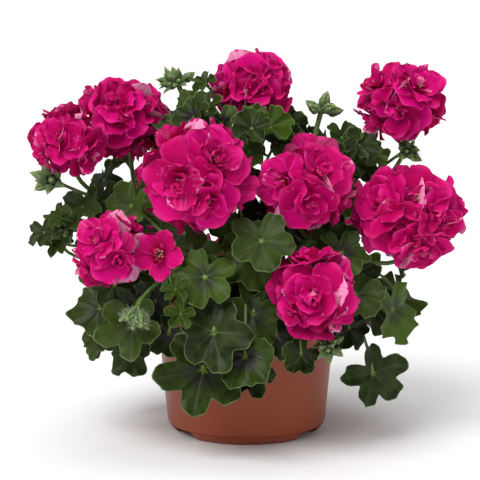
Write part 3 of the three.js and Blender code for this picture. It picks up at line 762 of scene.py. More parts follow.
def bark_crumb():
    """Loose crumbs on the mix: bark and peat, and a few white grains of perlite."""
    made, tree = new_finish("bark_and_perlite_crumbs")
    place = add(tree, "ShaderNodeTexCoord").outputs["Object"]
    tone = add(tree, "ShaderNodeAttribute", attribute_name="tone").outputs["Vector"]
    tone = add(tree, "ShaderNodeSeparateXYZ", {0: tone}).outputs[0]
    white = add(tree, "ShaderNodeMapRange", {"Value": tone, "From Min": 0.95, "From Max": 0.96})
    layers = [(tone, "#63483a"), (white, "#d9d4c8")]
    colour = add_chain(tree, "ShaderNodeMix", LAYER, "#231812", layers, data_type="RGBA")
    rough = add(tree, "ShaderNodeTexNoise", {"Vector": place, "Scale": per(1), "Detail": 4.0})
    return finished(made, colour, {"Roughness": 0.9}, (rough, 0.6, 0.5))


def pollen_thread():
    """Stamens: pale pink threads that end in small pink-brown anthers."""
    made, tree = new_finish("stamen_thread")
    along = add(tree, "ShaderNodeAttribute", attribute_name="thread").outputs["Fac"]
    anther = add(tree, "ShaderNodeMapRange", {"Value": along, "From Min": 0.7, "From Max": 0.85})
    colour = {"A": "#e9a0b4", "Factor": anther, "B": "#b9796c"}
    return finished(made, add(tree, "ShaderNodeMix", colour, data_type="RGBA"), {"Roughness": 0.6})


def pale_floor():
    """The studio's floor: matt and nearly white, with a very faint cloud."""
    made, tree = new_finish("pale_studio_floor")
    place = add(tree, "ShaderNodeTexCoord").outputs["Object"]
    cloud = add(tree, "ShaderNodeTexNoise", {"Vector": place, "Scale": per(2000)})
    colour = {"A": "#f6f6f6", "Factor": cloud, "B": "#fafafa"}
    return finished(made, add(tree, "ShaderNodeMix", colour, data_type="RGBA"), {"Roughness": 0.9})


LEAF = fleshy_leaf()
PETAL = velvet_petal()
STALK = green_stalk()
BUD = downy_bud()
DOWN = white_down()
PLASTIC = moulded_pot()
MIX = potting_mix()
CRUMB = bark_crumb()
THREAD = pollen_thread()


# Trees


def set_on(tree, points, shapes, turn, size, **which):
    """Puts a shape from a shelf on each point."""
    choice = {"Collection": shapes, "Separate Children": True, "Reset Children": True}
    links = {
        "Points": points,
        "Instance": add(tree, "GeometryNodeCollectionInfo", choice),
        "Pick Instance": True,
        "Rotation": turn,
        "Scale": size,
    }
    for label, value in which.items():
        links[label.replace("_", " ")] = value
    return add(tree, "GeometryNodeInstanceOnPoints", links)


def set_as_told(tree, given):
    """Puts a shape on each point, whose kind, turn and size are the point's own."""
    kind = add(tree, "GeometryNodeInputNamedAttribute", {"Name": "kind"}, data_type="INT")
    turn, size = add_each(
        tree, "GeometryNodeInputNamedAttribute", ["Name"], [["turn"], ["size"]], data_type="FLOAT_VECTOR"
    )
    turn = add(tree, "FunctionNodeEulerToRotation", {0: turn})
    size = add(tree, "ShaderNodeVectorMath", {0: size, "Scale": given["Size"]}, operation="SCALE")
    return set_on(tree, given["Geometry"], given["Shapes"], turn, size, Instance_Index=kind)


def placing_tree():
    tree, given = new_tree("shapes on points", Shapes="Collection", Size="Float", Finish="Material")
    return close_tree(tree, set_as_told(tree, given), given["Finish"])


def leafing_tree():
    """Puts a flat blade on each point and bends it: cupped, folded along its lobes and rippled."""
    tree, given = new_tree("leaves on points", Shapes="Collection", Size="Float", Finish="Material")
    real = add(tree, "GeometryNodeRealizeInstances", {"Geometry": set_as_told(tree, given)})
    names = [["bend"], ["curl"], ["pull"]]
    shape, curl, pull = add_each(
        tree, "GeometryNodeInputNamedAttribute", ["Name"], names, data_type="FLOAT_VECTOR"
    )
    rise = add(tree, "ShaderNodeVectorMath", {0: shape, 1: curl}, operation="DOT_PRODUCT").outputs["Value"]
    lift = add(tree, "ShaderNodeVectorMath", {0: pull, "Scale": rise}, operation="SCALE")
    bent = add(tree, "GeometryNodeSetPosition", {"Geometry": real, "Offset": lift})
    return close_tree(tree, bent, given["Finish"])


def stalk_tree():
    """Sweeps a round section along each path, as thick as the path says, and closes its ends."""
    tree, given = new_tree("stalks along paths", Sides="Int", Finish="Material")
    path = add(tree, "GeometryNodeMeshToCurve", {"Mesh": given["Geometry"]})
    ring = add(tree, "GeometryNodeCurvePrimitiveCircle", {"Resolution": given["Sides"], "Radius": 1.0})
    thick = add(tree, "GeometryNodeInputNamedAttribute", {"Name": "thick"}, data_type="FLOAT")
    links = {"Curve": path, "Profile Curve": ring, "Scale": thick, "Fill Caps": True}
    tube = add(tree, "GeometryNodeSetShadeSmooth", {0: add(tree, "GeometryNodeCurveToMesh", links)})
    return close_tree(tree, tube, given["Finish"])


def scatter_tree():
    """Scatters small shapes over a surface, each turned with it, with a tone of its own."""
    tree, given = new_tree(
        "scattered over a surface",
        Shapes="Collection",
        Density="Float",
        Least="Float",
        Most="Float",
        Seed="Int",
        Finish="Material",
    )
    spots = add(
        tree,
        "GeometryNodeDistributePointsOnFaces",
        {"Mesh": given["Geometry"], "Density": given["Density"], "Seed": given["Seed"]},
    )
    between = {"Min": (0.0, 0.0, 0.0), "Max": (1.0, 1.0, 1.0), "Seed": given["Seed"]}
    tone = add(tree, "FunctionNodeRandomValue", between, data_type="FLOAT_VECTOR")
    toned = add(
        tree,
        "GeometryNodeStoreNamedAttribute",
        {"Geometry": spots.outputs["Points"], "Name": "tone", "Value": tone},
        data_type="FLOAT_VECTOR",
        domain="POINT",
    )
    between = {"Min": given["Least"], "Max": given["Most"], "Seed": 3}
    size = add(tree, "FunctionNodeRandomValue", between, data_type="FLOAT")
    placed = set_on(tree, toned, given["Shapes"], spots.outputs["Rotation"], size)
    return close_tree(tree, placed, given["Finish"])


def turning_tree():
    """Turns a profile of points, in the XZ plane, about the Z axis into a closed body."""
    tree, given = new_tree("turned body", Points="Int", Segments="Int", Finish="Material")
    around = add(tree, "ShaderNodeMath", {0: given["Segments"], 1: 1.0}, operation="ADD")
    sizes = {"Size X": 1.0, "Size Y": 1.0, "Vertices X": around, "Vertices Y": given["Points"]}
    sheet = add(tree, "GeometryNodeMeshGrid", sizes)
    place = add(tree, "GeometryNodeInputPosition")
    flat = add(tree, "ShaderNodeSeparateXYZ", {0: place}).outputs
    last = add(tree, "ShaderNodeMath", {0: given["Points"], 1: 1.0}, operation="SUBTRACT")
    row = add(tree, "ShaderNodeMath", {0: flat[1], 1: 0.5}, operation="ADD")
    row = add(tree, "ShaderNodeMath", {0: row, 1: last}, operation="MULTIPLY")
    row = add(tree, "ShaderNodeMath", {0: row}, operation="ROUND")
    spot = add(
        tree,
        "GeometryNodeSampleIndex",
        {"Geometry": given["Geometry"], "Value": place, "Index": row},
        data_type="FLOAT_VECTOR",
        domain="POINT",
    )
    turn = add(tree, "ShaderNodeMath", {0: flat[0], 1: 2 * pi}, operation="MULTIPLY")
    spot = add(tree, "ShaderNodeVectorRotate", {"Vector": spot, "Angle": turn}, rotation_type="Z_AXIS")
    body = add(tree, "GeometryNodeSetPosition", {"Geometry": sheet, "Position": spot})
    body = add(tree, "GeometryNodeMergeByDistance", {"Geometry": body, "Distance": 1e-6})
    return close_tree(tree, body, given["Finish"])


PLACING = placing_tree()
LEAFING = leafing_tree()
STALKS = stalk_tree()
SCATTER = scatter_tree()
TURNING = turning_tree()


# Shapes that repeat

BLADE_RINGS = (0.06, 0.15, 0.27, 0.4, 0.54, 0.68, 0.81, 0.91, 0.97)
BLADE_THICKNESS = 0.036  # share of the half-width
CLEFT_DEPTHS = (0.7, 1.0, 1.5, 0.9, 1.2, 0.6, 1.35, 0.8, 1.8)  # of each kind, the last is a young leaf
TURN = 6.28  # a full turn, near enough for a random phase
YOUNG = 8
YOUNG_WIDTH = 22  # leaves up to this width are young


def ring_of(count):
    """Each corner of a closed ring, and the next one."""
    return [(k, (k + 1) % count) for k in range(count)]


def tube_faces(first, sides, rings):
    """The faces of a closed tube over rings of points: its sides, and then its two ends."""
    last = first + sides * (rings - 1)
    faces = []
    for a in range(first, last, sides):
        faces += [(a + k, a + n, a + sides + n, a + sides + k) for k, n in ring_of(sides)]
    return faces + [[first + sides - 1 - k for k in range(sides)], [last + k for k in range(sides)]]


def blade_shape(kind):
    """A flat leaf of half-width 1 that faces +Z, its middle lobe along +Y. Its margin is rounded."""
    exact = {35: 33, 65: 66, 100: 99, 130: 131}  # steps of 5 degrees, moved to the lobes and clefts
    angles = [copysign(exact.get(abs(a), abs(a)), a) if a else 0 for a in range(-180, 180, 5)]
    count, rings = len(angles), len(BLADE_RINGS)
    deeper, teeth = CLEFT_DEPTHS[kind], mix(0.015, 0.04, draw(kind + 0.7))
    phase = TURN * draw(kind + 0.9)
    points, bend, blade = [], [], []

    def put(angle, share, side):
        turn = radians(angle)
        reach = share * edge_reach(angle, deeper, teeth) * (1 + 0.05 * sin(2 * turn + phase))
        thick = side * BLADE_THICKNESS / 2 * sqrt(max(0, 1 - share**6))
        dimple = -0.05 * exp(-((reach / 0.12) ** 2))
        points.append((reach * sin(turn), reach * cos(turn), thick + dimple))
        wave = reach**2 * (0.6 * sin(3 * turn + phase) + 0.4 * sin(5 * turn + 2 * phase))
        wave += 0.5 * reach**4 * sin(11 * turn + 3 * phase)
        cupped = 0.6 * reach**2 + 0.55 * reach * abs(sin(turn))
        bend.append((cupped, reach * fold_at(angle), wave))
        off = radians(from_lobe(angle))
        blade.append((reach * abs(sin(off)), reach * cos(off), share))

    for side in (1, -1):
        put(0, 0, side)
        for share in BLADE_RINGS:
            for angle in angles:
                put(angle, share, side)
    for angle in angles:
        put(angle, 1, 0)
    half = 1 + rings * count
    faces = []
    for k, n in ring_of(count):
        faces += [(0, 1 + n, 1 + k), (half, half + 1 + k, half + 1 + n)]
        for j in range(rings):
            near, far = 1 + j * count, 1 + (j + 1) * count
            top, low = (far, half + far) if j < rings - 1 else (2 * half, 2 * half)
            faces.append((near + n, top + n, top + k, near + k))
            faces.append((half + near + k, low + k, low + n, half + near + n))
    return mesh_object(f"blade_{kind:02d}", points, faces=faces, bend=bend, blade=blade)


PETAL_GRID = 6  # cells each way
PETAL_THICKNESS = 0.024  # share of the length
BROADEST = 0.68  # where along it a petal is broadest


def petal_shape(kind, width, recurve, cup, ruffle, twist):
    """A petal of length 1 along +Y that faces +Z, narrow at its root and broad at its rounded end."""
    n = PETAL_GRID
    phase, other = (TURN * draw(kind + seed) for seed in (11.3, 12.9))

    def place(s, t, lift):
        broad = width * (0.2 + 0.8 * sin(pi / 2 * min(1, t / BROADEST)) ** 1.2)
        x = s * broad * sqrt(1 - (max(0, t - BROADEST) / 0.39) ** 2)
        y = t * (1 - 0.17 * s**2 * t) - 0.02 * t**6 * exp(-((s / 0.3) ** 2))
        wave = abs(s) * sin(pi * 2.1 * s + phase) + 0.6 * sin(4 * s + other) * t
        z = recurve * t**2 + cup * s**2 * t * width * 2 + ruffle * t**2 * wave + lift
        angle = radians(twist) * t
        return (x * cos(angle) - z * sin(angle), y, x * sin(angle) + z * cos(angle))

    points, number = [], {}
    for side in (1, -1):
        for row in range(n + 1):
            for column in range(n + 1):
                rim = row in (0, n) or column in (0, n)
                if rim and side < 0:
                    number[row, column, side] = number[row, column, 1]
                    continue
                number[row, column, side] = len(points)
                lift = 0 if rim else side * PETAL_THICKNESS / 2
                points.append(place(2 * column / n - 1, row / n, lift))
    faces, petal = [], []
    for row in range(n):
        for column in range(n):
            corners = [(row, column), (row, column + 1), (row + 1, column + 1), (row + 1, column)]
            for side, ring in ((1, corners), (-1, corners[::-1])):
                faces.append([number[r, c, side] for r, c in ring])
                petal += [(2 * c / n - 1, r / n, (1 - side) / 2) for r, c in ring]
    made = mesh_object(f"petal_{kind:02d}", points, faces=faces)
    made.data.set_sharp_from_angle(angle=radians(100))
    layer = made.data.attributes.new("petal", "FLOAT_VECTOR", "CORNER")
    layer.data.foreach_set("vector", np.array(petal, np.float32).ravel())
    return made


# width, recurve, cup, ruffle and twist of the kinds of petal: five broad outer ones, four cupped ones inside
# them, four small curled ones, and the narrow one of an open single floret
PETALS = [(0.45 + 0.03 * i, mix(-0.22, 0.04, draw(i + 50)), 0.08, 0.05, spread(12, i + 60)) for i in range(5)]
PETALS += [(0.44, mix(-0.12, 0.16, draw(i + 51)), 0.12, 0.11, spread(30, i + 61)) for i in range(4)]
PETALS += [(0.38, mix(0.05, 0.3, draw(i + 52)), 0.4, 0.14, spread(60, i + 62)) for i in range(4)]
PETALS.append((0.39, -0.05, 0.12, 0.06, 7))
OUTER, INNER, CURLED, OPEN = (0, 5), (5, 4), (9, 4), 13  # first kind and how many


def bud_shape(kind, length, width, sepal, open_by):
    """A plump bud along +Z, and five pointed sepals that lie on it or stand off it by an angle."""
    points, bud, faces = [], [], []
    sides, rings = 10, 5

    def swell(t):
        return width / 2 * sin(pi * clamp(t) ** 0.8) ** 0.65

    for j in range(1, rings):
        t = j / rings
        for k in range(sides):
            angle = 2 * pi * k / sides
            rib = 0.5 + 0.5 * cos(5 * angle)
            radius = swell(t) * (0.9 + 0.14 * rib)
            points.append((radius * cos(angle), radius * sin(angle), t * length))
            bud.append((t, rib, 0))
    points += [(0, 0, 0), (0, 0, length)]
    bud += [(0, 0, 0), (1, 0, 0)]
    root, tip = len(points) - 2, len(points) - 1
    for k, n in ring_of(sides):
        faces.append((root, n, k))
        for a in range(0, (rings - 2) * sides, sides):
            faces.append((a + k, a + n, a + sides + n, a + sides + k))
        a = (rings - 2) * sides
        faces.append((a + k, a + n, tip))
    rows = ((0.0, 0.3), (0.25, 0.9), (0.5, 1.0), (0.75, 0.6), (1.0, 0.0))  # of a sepal: share, width
    for i in range(5):
        out, side = on_circle(1, 72 * i, 0), on_circle(1, 72 * i + 90, 0)
        faces += tube_faces(len(points), 4, len(rows))
        for t, wide in rows:
            lean = radians(open_by) * (0.3 + 0.9 * t)
            rise = cos(lean) * t * sepal
            off = max(0.1 * width + sin(lean) * t * sepal, swell(rise / length) + 0.02)
            spot = out * off + np.array([0, 0, rise])
            away = out * cos(lean) - np.array([0, 0, sin(lean)])
            half = 0.23 * wide
            for across, lift in ((-half, 0), (0, 0.05 * wide), (half, 0), (0, -0.015)):
                points.append(tuple(spot + side * across + away * lift))
                bud.append((t, 0.3 if lift <= 0 else 1, 1))
    return mesh_object(f"bud_{kind:02d}", points, faces=faces, bud=bud)


def crumb_shape(kind):
    """A lump of bark or peat with a couple of dozen faces, a bit flat."""
    lumps = [(0, 0, 1), (0, 0, -0.5)]
    for ring, (z, radius) in enumerate(((0.45, 0.85), (-0.25, 0.8))):
        for k in range(6):
            angle = pi / 3 * (k + 0.5 * ring)
            reach = radius * mix(0.65, 1.2, draw(kind * 31 + ring * 7 + k))
            lumps.append((reach * cos(angle), reach * sin(angle) * 0.8, z))
    faces = []
    for k, n in ring_of(6):
        faces += [(0, 2 + k, 2 + n), (2 + k, 8 + k, 2 + n), (2 + n, 8 + k, 8 + n), (1, 8 + n, 8 + k)]
    return mesh_object(f"crumb_{kind:02d}", lumps, faces=faces)


def hair_shape(kind):
    """A hair: a thin spike of three sides and length 1, along +Z, more or less bent."""
    points = [(0.03 * cos(a), 0.03 * sin(a), -0.1) for a in (0, 2.09, 4.19)]  # thirds of a turn
    points.append((0.2 * kind, 0, 1))
    return mesh_object(f"hair_{kind:02d}", points, faces=[(0, 1, 3), (1, 2, 3), (2, 0, 3), (2, 1, 0)])


def stamen_shape(kind):
    """A stamen of length 1 along +Z: a thread with a small anther across its end."""
    points, thread = [], []
    rows = ((0.0, 0.05), (0.78, 0.04), (0.82, 0.13), (1.0, 0.09))  # share of the length, radius
    for t, radius in rows:
        bow = 0.12 * sin(pi * t) * (1 if kind else -1)
        for k in range(4):
            angle = pi / 2 * k
            points.append((radius * cos(angle) + bow, radius * sin(angle), t))
            thread.append(t)
    return mesh_object(f"stamen_{kind:02d}", points, faces=tube_faces(0, 4, len(rows)), thread=thread)


BLADES = shelf("blades", [blade_shape(i) for i in range(len(CLEFT_DEPTHS))])
PETAL_SHAPES = shelf("petals", [petal_shape(i, *form) for i, form in enumerate(PETALS)])
CLOSED, TUFTED, CALYX = 0, 1, 2
BUD_FORMS = ((0.95, 0.42, 0.75, 4), (0.62, 0.34, 1, 30), (0.5, 0.3, 1, 72))  # as bud_shape takes them
BUD_SHAPES = shelf("buds", [bud_shape(i, *form) for i, form in enumerate(BUD_FORMS)])
CRUMB_SHAPES = shelf("crumbs", [crumb_shape(i) for i in range(4)])
HAIR_SHAPES = shelf("hairs", [hair_shape(i) for i in range(3)])
STAMEN_SHAPES = shelf("stamens", [stamen_shape(i) for i in range(2)])


def turn_of(x, y, z):
    """The turn that takes the axes of a shape to three directions, as angles."""
    return Matrix((x, y, z)).transposed().to_euler()[:]


def across_of(aim):
    return unit(np.cross(aim, [0, 0, 1] if abs(aim[2]) < 0.9 else [1, 0, 0]))


def facing(aim, spin=0.0):
    """The turn that takes +Z to an aim."""
    across = turned_about(across_of(aim), aim, spin)
    return turn_of(across, np.cross(aim, across), aim)


def points_object(name, spots, **more):
    """Points for a tree, from a list of (place in mm, turn, size in mm, kind, tone)."""
    places, turns, sizes, kinds, tones = zip(*spots)
    return mesh_object(
        name,
        [np.array(place) * MM for place in places],
        turn=turns,
        size=[(size,) * 3 for size in sizes],
        kind=np.array(kinds, np.int32),
        tone=tones,
        **more,
    )


# The plant

leaves = make_leaves()
settle(leaves)

strands = [[] for _ in SHOOTS]  # (points in mm, radii in mm) of each shoot's stalks
buds = [[] for _ in SHOOTS]
petals = [[] for _ in HEADS]
stamens = [[] for _ in HEADS]

FLORET_RINGS = (  # petals, opening, share of the length, kinds
    (5, 74, 1.0, OUTER),
    (4, 60, 0.76, INNER),
    (4, 40, 0.54, INNER),
    (3, 22, 0.38, CURLED),
)
SECOND_STEP = 0.7548777  # with the golden ratio, spreads places evenly over a ball
STRAYS = 16  # petals between the florets of a head
TRIES = 60  # places for a floret that a head tries
# how closely a new floret may point the way of another one, and of the stalk or the single floret (cosines)
NEAREST = {"floret": 0.42, "stalk": 0.72}
STAMENS = 5  # in a double floret
SPRAY_OPENS = {"usual": 62, "hairy": 30}  # how far the buds of a spray spread, in degrees


def on_ball(k, first, second):
    """The way to one of many places that lie evenly over a ball, which two draws turn."""
    z = 1 - 2 * ((k * GOLDEN + draw(first)) % 1)
    return on_circle(sqrt(1 - z * z), 360 * ((k * SECOND_STEP + draw(second)) % 1), z)


def middle_of(head):
    return np.array(HEADS[head][0], float)


def to_single(head):
    """The way from a head to the single floret beside it, or nothing."""
    return unit(np.array(SINGLE["at"], float)) if head == SINGLE["head"] else np.zeros(3)


def opened(across, aim, turn, opening):
    """The way a petal points, and the way it faces, when it stands open by an angle from its aim."""
    out, angle = turned_about(across, aim, turn), radians(opening)
    return out * sin(angle) + aim * cos(angle), aim * sin(angle) - out * cos(angle)


def put_petal(head, root, way, face, length, kind, tone):
    petals[head].append((root, turn_of(np.cross(way, face), way, face), length, kind, tone))


def put_stamen(head, i, root, way, length):
    stamens[head].append((root, facing(unit(way), 90 * i), length, i % 2, (0, 0, 0)))


def put_stalk(shoot, points, thick, end):
    """A short stalk on a curve, thicker at its end, and nothing on it yet."""
    strands[shoot].append(([bezier(points, i / 4) for i in range(5)], [thick] * 4 + [end]))


def double_floret(head, seat, reach, aim, size, seed):
    """A double floret: rings of petals, broad and open outside, small and curled in its middle. Few
    petals end farther than the reach from the middle of the head."""
    middle, single, across = middle_of(head), to_single(head), across_of(aim)
    red = 0.25 * draw(seed + 0.9) ** 2
    for ring, (count, opening, share, (first, kinds)) in enumerate(FLORET_RINGS):
        for i in range(count):
            s = seed * 3.7 + ring * 17 + i * 1.3
            turn = 360 * (i + 0.5 * (ring % 2) + spread(0.16 + 0.08 * ring, s)) / count + 60 * draw(seed)
            way, face = opened(across, aim, turn, opening + spread(14 + 3 * ring, s + 1))
            face = turned_about(face, way, spread(12 + 12 * ring, s + 2))
            kind = first + int(kinds * draw(s + 3)) % kinds
            long = size * share * mix(0.9 - 0.06 * ring, 1.1 + 0.06 * ring, draw(s + 4))
            root = seat + aim * (0.04 * size * ring)
            tip = root + way * long - middle
            room = reach + 1.5 * draw(s + 8) - 9 * max(0, np.dot(unit(tip), single))
            long -= clamp(np.linalg.norm(tip) - room, 0, 0.45 * long)
            fleck = max(0, draw(s + 5) - (0.72 if ring else 0.86)) * (3 if ring else 7)
            put_petal(head, root, way, face, long, kind, (draw(s + 6), min(1, fleck), red))
    for i in range(STAMENS):
        lean = 0.28 * turned_about(across, aim, 360 * i / STAMENS + 20 * draw(seed + i))
        put_stamen(head, i, seat + aim * 1.5, aim + lean, 0.3 * size)


def floret_aims(head):
    """The florets that the viewer sees, and then others as evenly round the ball as they fit."""
    radius = HEADS[head][1]
    tilt = radians(VIEW["elevation"])
    to_viewer = np.array([0, -cos(tilt), sin(tilt)])
    up = np.array([0, sin(tilt), cos(tilt)])
    aims = []
    for right, high, *_size in FLORETS_SEEN[head]:
        near = sqrt(max(1, radius**2 - right**2 - high**2))
        aims.append(unit(np.array([right, 0, 0]) + up * high + to_viewer * near))
    if not aims:
        aims.append(head_axes(head)[0])
    for k in range(TRIES):
        aim = on_ball(k, head, head + 9)
        free = all(np.dot(aim, other) < NEAREST["floret"] for other in aims)
        beside = max(np.dot(aim, stalk_entry(head)), np.dot(aim, to_single(head)))
        if free and beside < NEAREST["stalk"]:
            aims.append(aim)
    return aims


def stray_petals(head, middle, radius, usual):
    """Petals between the florets, a third of them turned so that their pale backs show."""
    for k in range(STRAYS):
        s, turned_over = head * 23 + k * 1.7, k % 3 == 1
        out = on_ball(k, head + 5, head + 6)
        side = turned_about(unit(np.cross(out, [0.3, 0.5, 1])), out, 360 * draw(s))
        way = unit(out + (0.8 if turned_over else 0.5) * np.cross(out, side))
        face = unit(np.cross(side, way))
        seat = middle + out * (radius - usual)
        if turned_over:
            put_petal(head, seat, way, -face, 1.08 * usual, k % 9, (draw(s + 1), 1, 0))
        else:
            tone = (draw(s + 1), 2 * max(0, draw(s + 2) - 0.6), 0.1)
            put_petal(head, seat, way, face, 0.85 * usual, k % 9, tone)


def single_floret(head, shoot, hub, seat):
    """The open floret beside a head: five petals, and inside them, on its side, small redder ones."""
    aim = head_axes(head)[0]
    across = across_of(aim)
    put_stalk(shoot, [hub, mix(hub, seat, 0.6), seat], 0.8, 0.8)
    buds[shoot].append((seat - aim * 2.5, facing(aim), 9, CALYX, (0.4, 0, 0)))
    rows = [(72 * (i + 0.3), SINGLE["open"] - 6, SINGLE["length"], OPEN, 0.05) for i in range(5)]
    rows += [(42 * i - 84, 42, 0.56 * SINGLE["length"], CURLED[0] + i % 4, 0.6) for i in range(5)]
    for i, (turn, opening, long, kind, red) in enumerate(rows):
        way, face = opened(across, aim, turn + spread(8, i + 420), opening + spread(12, i + 400))
        long *= mix(0.92, 1.04, draw(i + 430))
        put_petal(head, seat, way, face, long, kind, (0.6 * draw(i + 410), 0.1, red))
    for i in range(10):
        lean = turned_about(across, aim, 36 * i) * (0.3 if i % 2 else 0.55)
        put_stamen(head, i, seat + aim, aim + lean, 6.5)


def grow_head(head, shoot, foot):
    """A flower head: its stalk, a short stalk and a calyx for each floret, and the petals."""
    middle, radius = middle_of(head), HEADS[head][1]
    entry = stalk_entry(head)
    # the short stalks part at the hub, and the long one enters the ball at its mouth
    hub, mouth = middle + entry * radius * 0.45, middle + entry * (radius + 3)
    path = arm(foot, mouth - entry * 2, entry, 9)[::-1] + [mouth - entry * 5, hub]
    strands[shoot].append((path, [1.5] * (len(path) - 2) + [1.6, 2.2]))
    usual = 0.46 * radius + 7
    for k, aim in enumerate(floret_aims(head)):
        seed = head * 13 + k
        seen = FLORETS_SEEN[head][k] if k < len(FLORETS_SEEN[head]) else ()
        size = usual * (seen[2] if len(seen) > 2 else 1)
        reach = radius * mix(*UNEVEN, draw(seed + 0.4))
        seat = middle + aim * (reach - 0.67 * size)
        put_stalk(shoot, [hub, mix(hub, seat, 0.5) + aim * 2, seat], 0.7, 1.3)
        buds[shoot].append((seat - aim * 2.5, facing(aim, 40 * k), 8, CALYX, (draw(seed), 0, 0)))
        double_floret(head, seat, reach, aim, size, seed)
    stray_petals(head, middle, radius, usual)
    if head == SINGLE["head"]:
        single_floret(head, shoot, hub, middle + np.array(SINGLE["at"], float))


def grow_spray(index, own, shoot, foot):
    """A spray of green buds: pointed buds and tufts of sepals that spread from one point."""
    middle, _, count, length = BUDS[index]
    middle = np.array(middle, float)
    upright = middle[2] > UPRIGHT
    away = unit(on_circle(1, bearing_of(middle), 3 if upright else 0.5))
    wide = SPRAY_OPENS["usual"]
    if index == HAIRY:
        middle, wide, length = middle + np.array([0, 0, 9]), SPRAY_OPENS["hairy"], 1.1 * length
        away = unit(on_circle(0.4, bearing_of(middle), -1))
    path = arm(foot, middle, -away, 8)[::-1]
    strands[shoot].append((path, [1.7 if upright else 1.1] * (len(path) - 1) + [1.8]))
    across = unit(np.cross(away, [0, 0, 1]))
    for i in range(count):
        aim = turned_about(away, across, wide + spread(10, own + i) if i else 0)
        aim = turned_about(aim, away, 360 * i / max(1, count - 1))
        kind = TUFTED if draw(index * 7 + i) > SHUT[index] else CLOSED
        off = 4 if kind == CLOSED else 0.5
        root = middle + aim * off
        strands[shoot].append(([middle, root + aim], [1.1, 1.0]))
        long = ((1.3 if upright else 1.25) * length - off) * mix(0.85, 1.1, draw(index * 5 + i))
        buds[shoot].append((root, facing(aim, 50 * i), long, kind, (draw(index + i), 0, 0)))


def grow_leaf(leaf, shoot, foot):
    """A leaf's petiole. Its blade is placed later."""
    path = arm(foot, leaf.at - leaf.face * 0.3, -leaf.face, 9)[::-1]
    strands[shoot].append((path, [1.5, 1.15, 1.05, 1.0, 1.0, 1.0, 1.0, 1.05, 1.3]))


def grow_shoot(shoot):
    """A shoot's stem and stalks. The lowest things leave the stem at its foot, the highest at its tip."""
    carried = [(leaf.at[2], grow_leaf, (leaf,)) for leaf in leaves if shoot_of(leaf.home) == shoot]
    carried += [(row[0][2], grow_head, (head,)) for head, row in enumerate(HEADS) if row[2] == shoot]
    sprays = [index for index, row in enumerate(BUDS) if row[1] == shoot]
    carried += [(BUDS[index][0][2], grow_spray, (index, own)) for own, index in enumerate(sprays)]
    carried.sort(key=lambda one: one[0])
    joints = [mix(FIRST_NODE, 1, (i + 0.5) / len(carried)) for i in range(len(carried))]
    for share, (_, grow, what) in zip(joints, carried):
        grow(*what, shoot, stem_point(shoot, share))
    stem = [stem_point(shoot, i / 15) for i in range(16)]
    radii = [STEM["radius"]]
    for i in range(16):
        swell = sum(exp(-(((i / 15 - share) / 0.02) ** 2)) for share in joints)
        radii.append(STEM["radius"] * mix(1, 0.72, i / 15) * (1 + 0.12 * min(1.5, swell)))
    below = np.array([*stem[0][:2], SOIL_TOP - STEM["depth"]])
    strands[shoot].append(([below, *stem], radii))


def stalks_of(paths):
    points, thick, edges = [], [], []
    for path, radii in paths:
        edges += [(len(points) + i, len(points) + i + 1) for i in range(len(path) - 1)]
        points += [np.array(p) * MM for p in path]
        thick += [r * MM for r in radii]
    made = mesh_object("stalks", points, edges=edges, thick=np.array(thick, np.float32))
    return grown(made, STALKS, Sides=8, Finish=STALK)


def curl_of(leaf):
    """How far a leaf is cupped, folded along its lobes and rippled. Young ones are still half folded."""
    if leaf.width <= YOUNG_WIDTH:
        return 0.3, 0.55, 0.25
    crown = clamp((leaf.home[2] - CROWN["above"]) / 20)  # the top leaves aren't spread yet
    cup = 1.6 * leaf.cup + 0.3 * crown
    return cup, 2.3 * leaf.fold + 0.3 * crown, mix(0.14, 0.34, draw(leaf.number + 0.4))


def tone_of(leaf):
    """How light a leaf is, how dark its zone and how yellow it is. Leaves near the middle of the plant, or
    low down in front, lie in its shade, and that shade is painted into their colour: they are darker and less
    yellow."""
    if leaf.width <= YOUNG_WIDTH:
        return 0.5, 0.0, 0.15
    seed = leaf.number * 5.3
    right, back, high = leaf.at
    # how far a leaf is out of the plant's shade: where this share is low, its lightness and its yellow are
    # cut as painted shade
    painted_sunlit_share = clamp((hypot(right, back) - 40) / 50 + max(0, high - 140) / 40)
    painted_sunlit_share *= mix(0.5, 1, clamp((high - 60) / 80 + max(0, abs(right) - 68) / 15))
    light = mix(0.2, 1, draw(seed)) * mix(0.4, 1, painted_sunlit_share) - 0.3 * (1 - painted_sunlit_share)
    return light, clamp(1.2 * draw(seed + 1) - 0.25), painted_sunlit_share * clamp(1.7 * draw(seed + 2) - 1.3)


def leaves_of(some):
    spots = []
    for leaf in some:
        kind = YOUNG if leaf.width <= YOUNG_WIDTH else leaf.number % YOUNG
        spots.append((leaf.at, turn_of(leaf.side, leaf.mid, leaf.face), leaf.half, kind, tone_of(leaf)))
    curls, pulls = [curl_of(leaf) for leaf in some], [leaf.face * leaf.half * MM for leaf in some]
    made = points_object("leaves", spots, curl=curls, pull=pulls)
    return grown(made, LEAFING, Shapes=BLADES, Size=MM, Finish=LEAF)


def buds_of(shoot):
    """The buds of a shoot and the hairs on them."""
    made = grown(points_object("buds", buds[shoot]), PLACING, Shapes=BUD_SHAPES, Size=MM, Finish=BUD)
    hairs = linked(made.copy())
    hairs.data = made.data.copy()
    long, dense = (4.2, 1.3e5) if shoot == BUDS[HAIRY][1] else (0.9, 1.2e5)
    sizes = {"Density": dense, "Least": 0.4 * long * MM, "Most": long * MM}
    return [made, grown(hairs, SCATTER, Shapes=HAIR_SHAPES, Seed=shoot, Finish=DOWN, **sizes)]


for shoot in range(len(SHOOTS)):
    grow_shoot(shoot)

for shoot in range(len(SHOOTS)):
    parts = [leaves_of([leaf for leaf in leaves if shoot_of(leaf.home) == shoot]), stalks_of(strands[shoot])]
    if buds[shoot]:
        parts += buds_of(shoot)
    piece(f"leafy_shoot_{shoot + 1}", parts, f"shoot_{shoot + 1}")

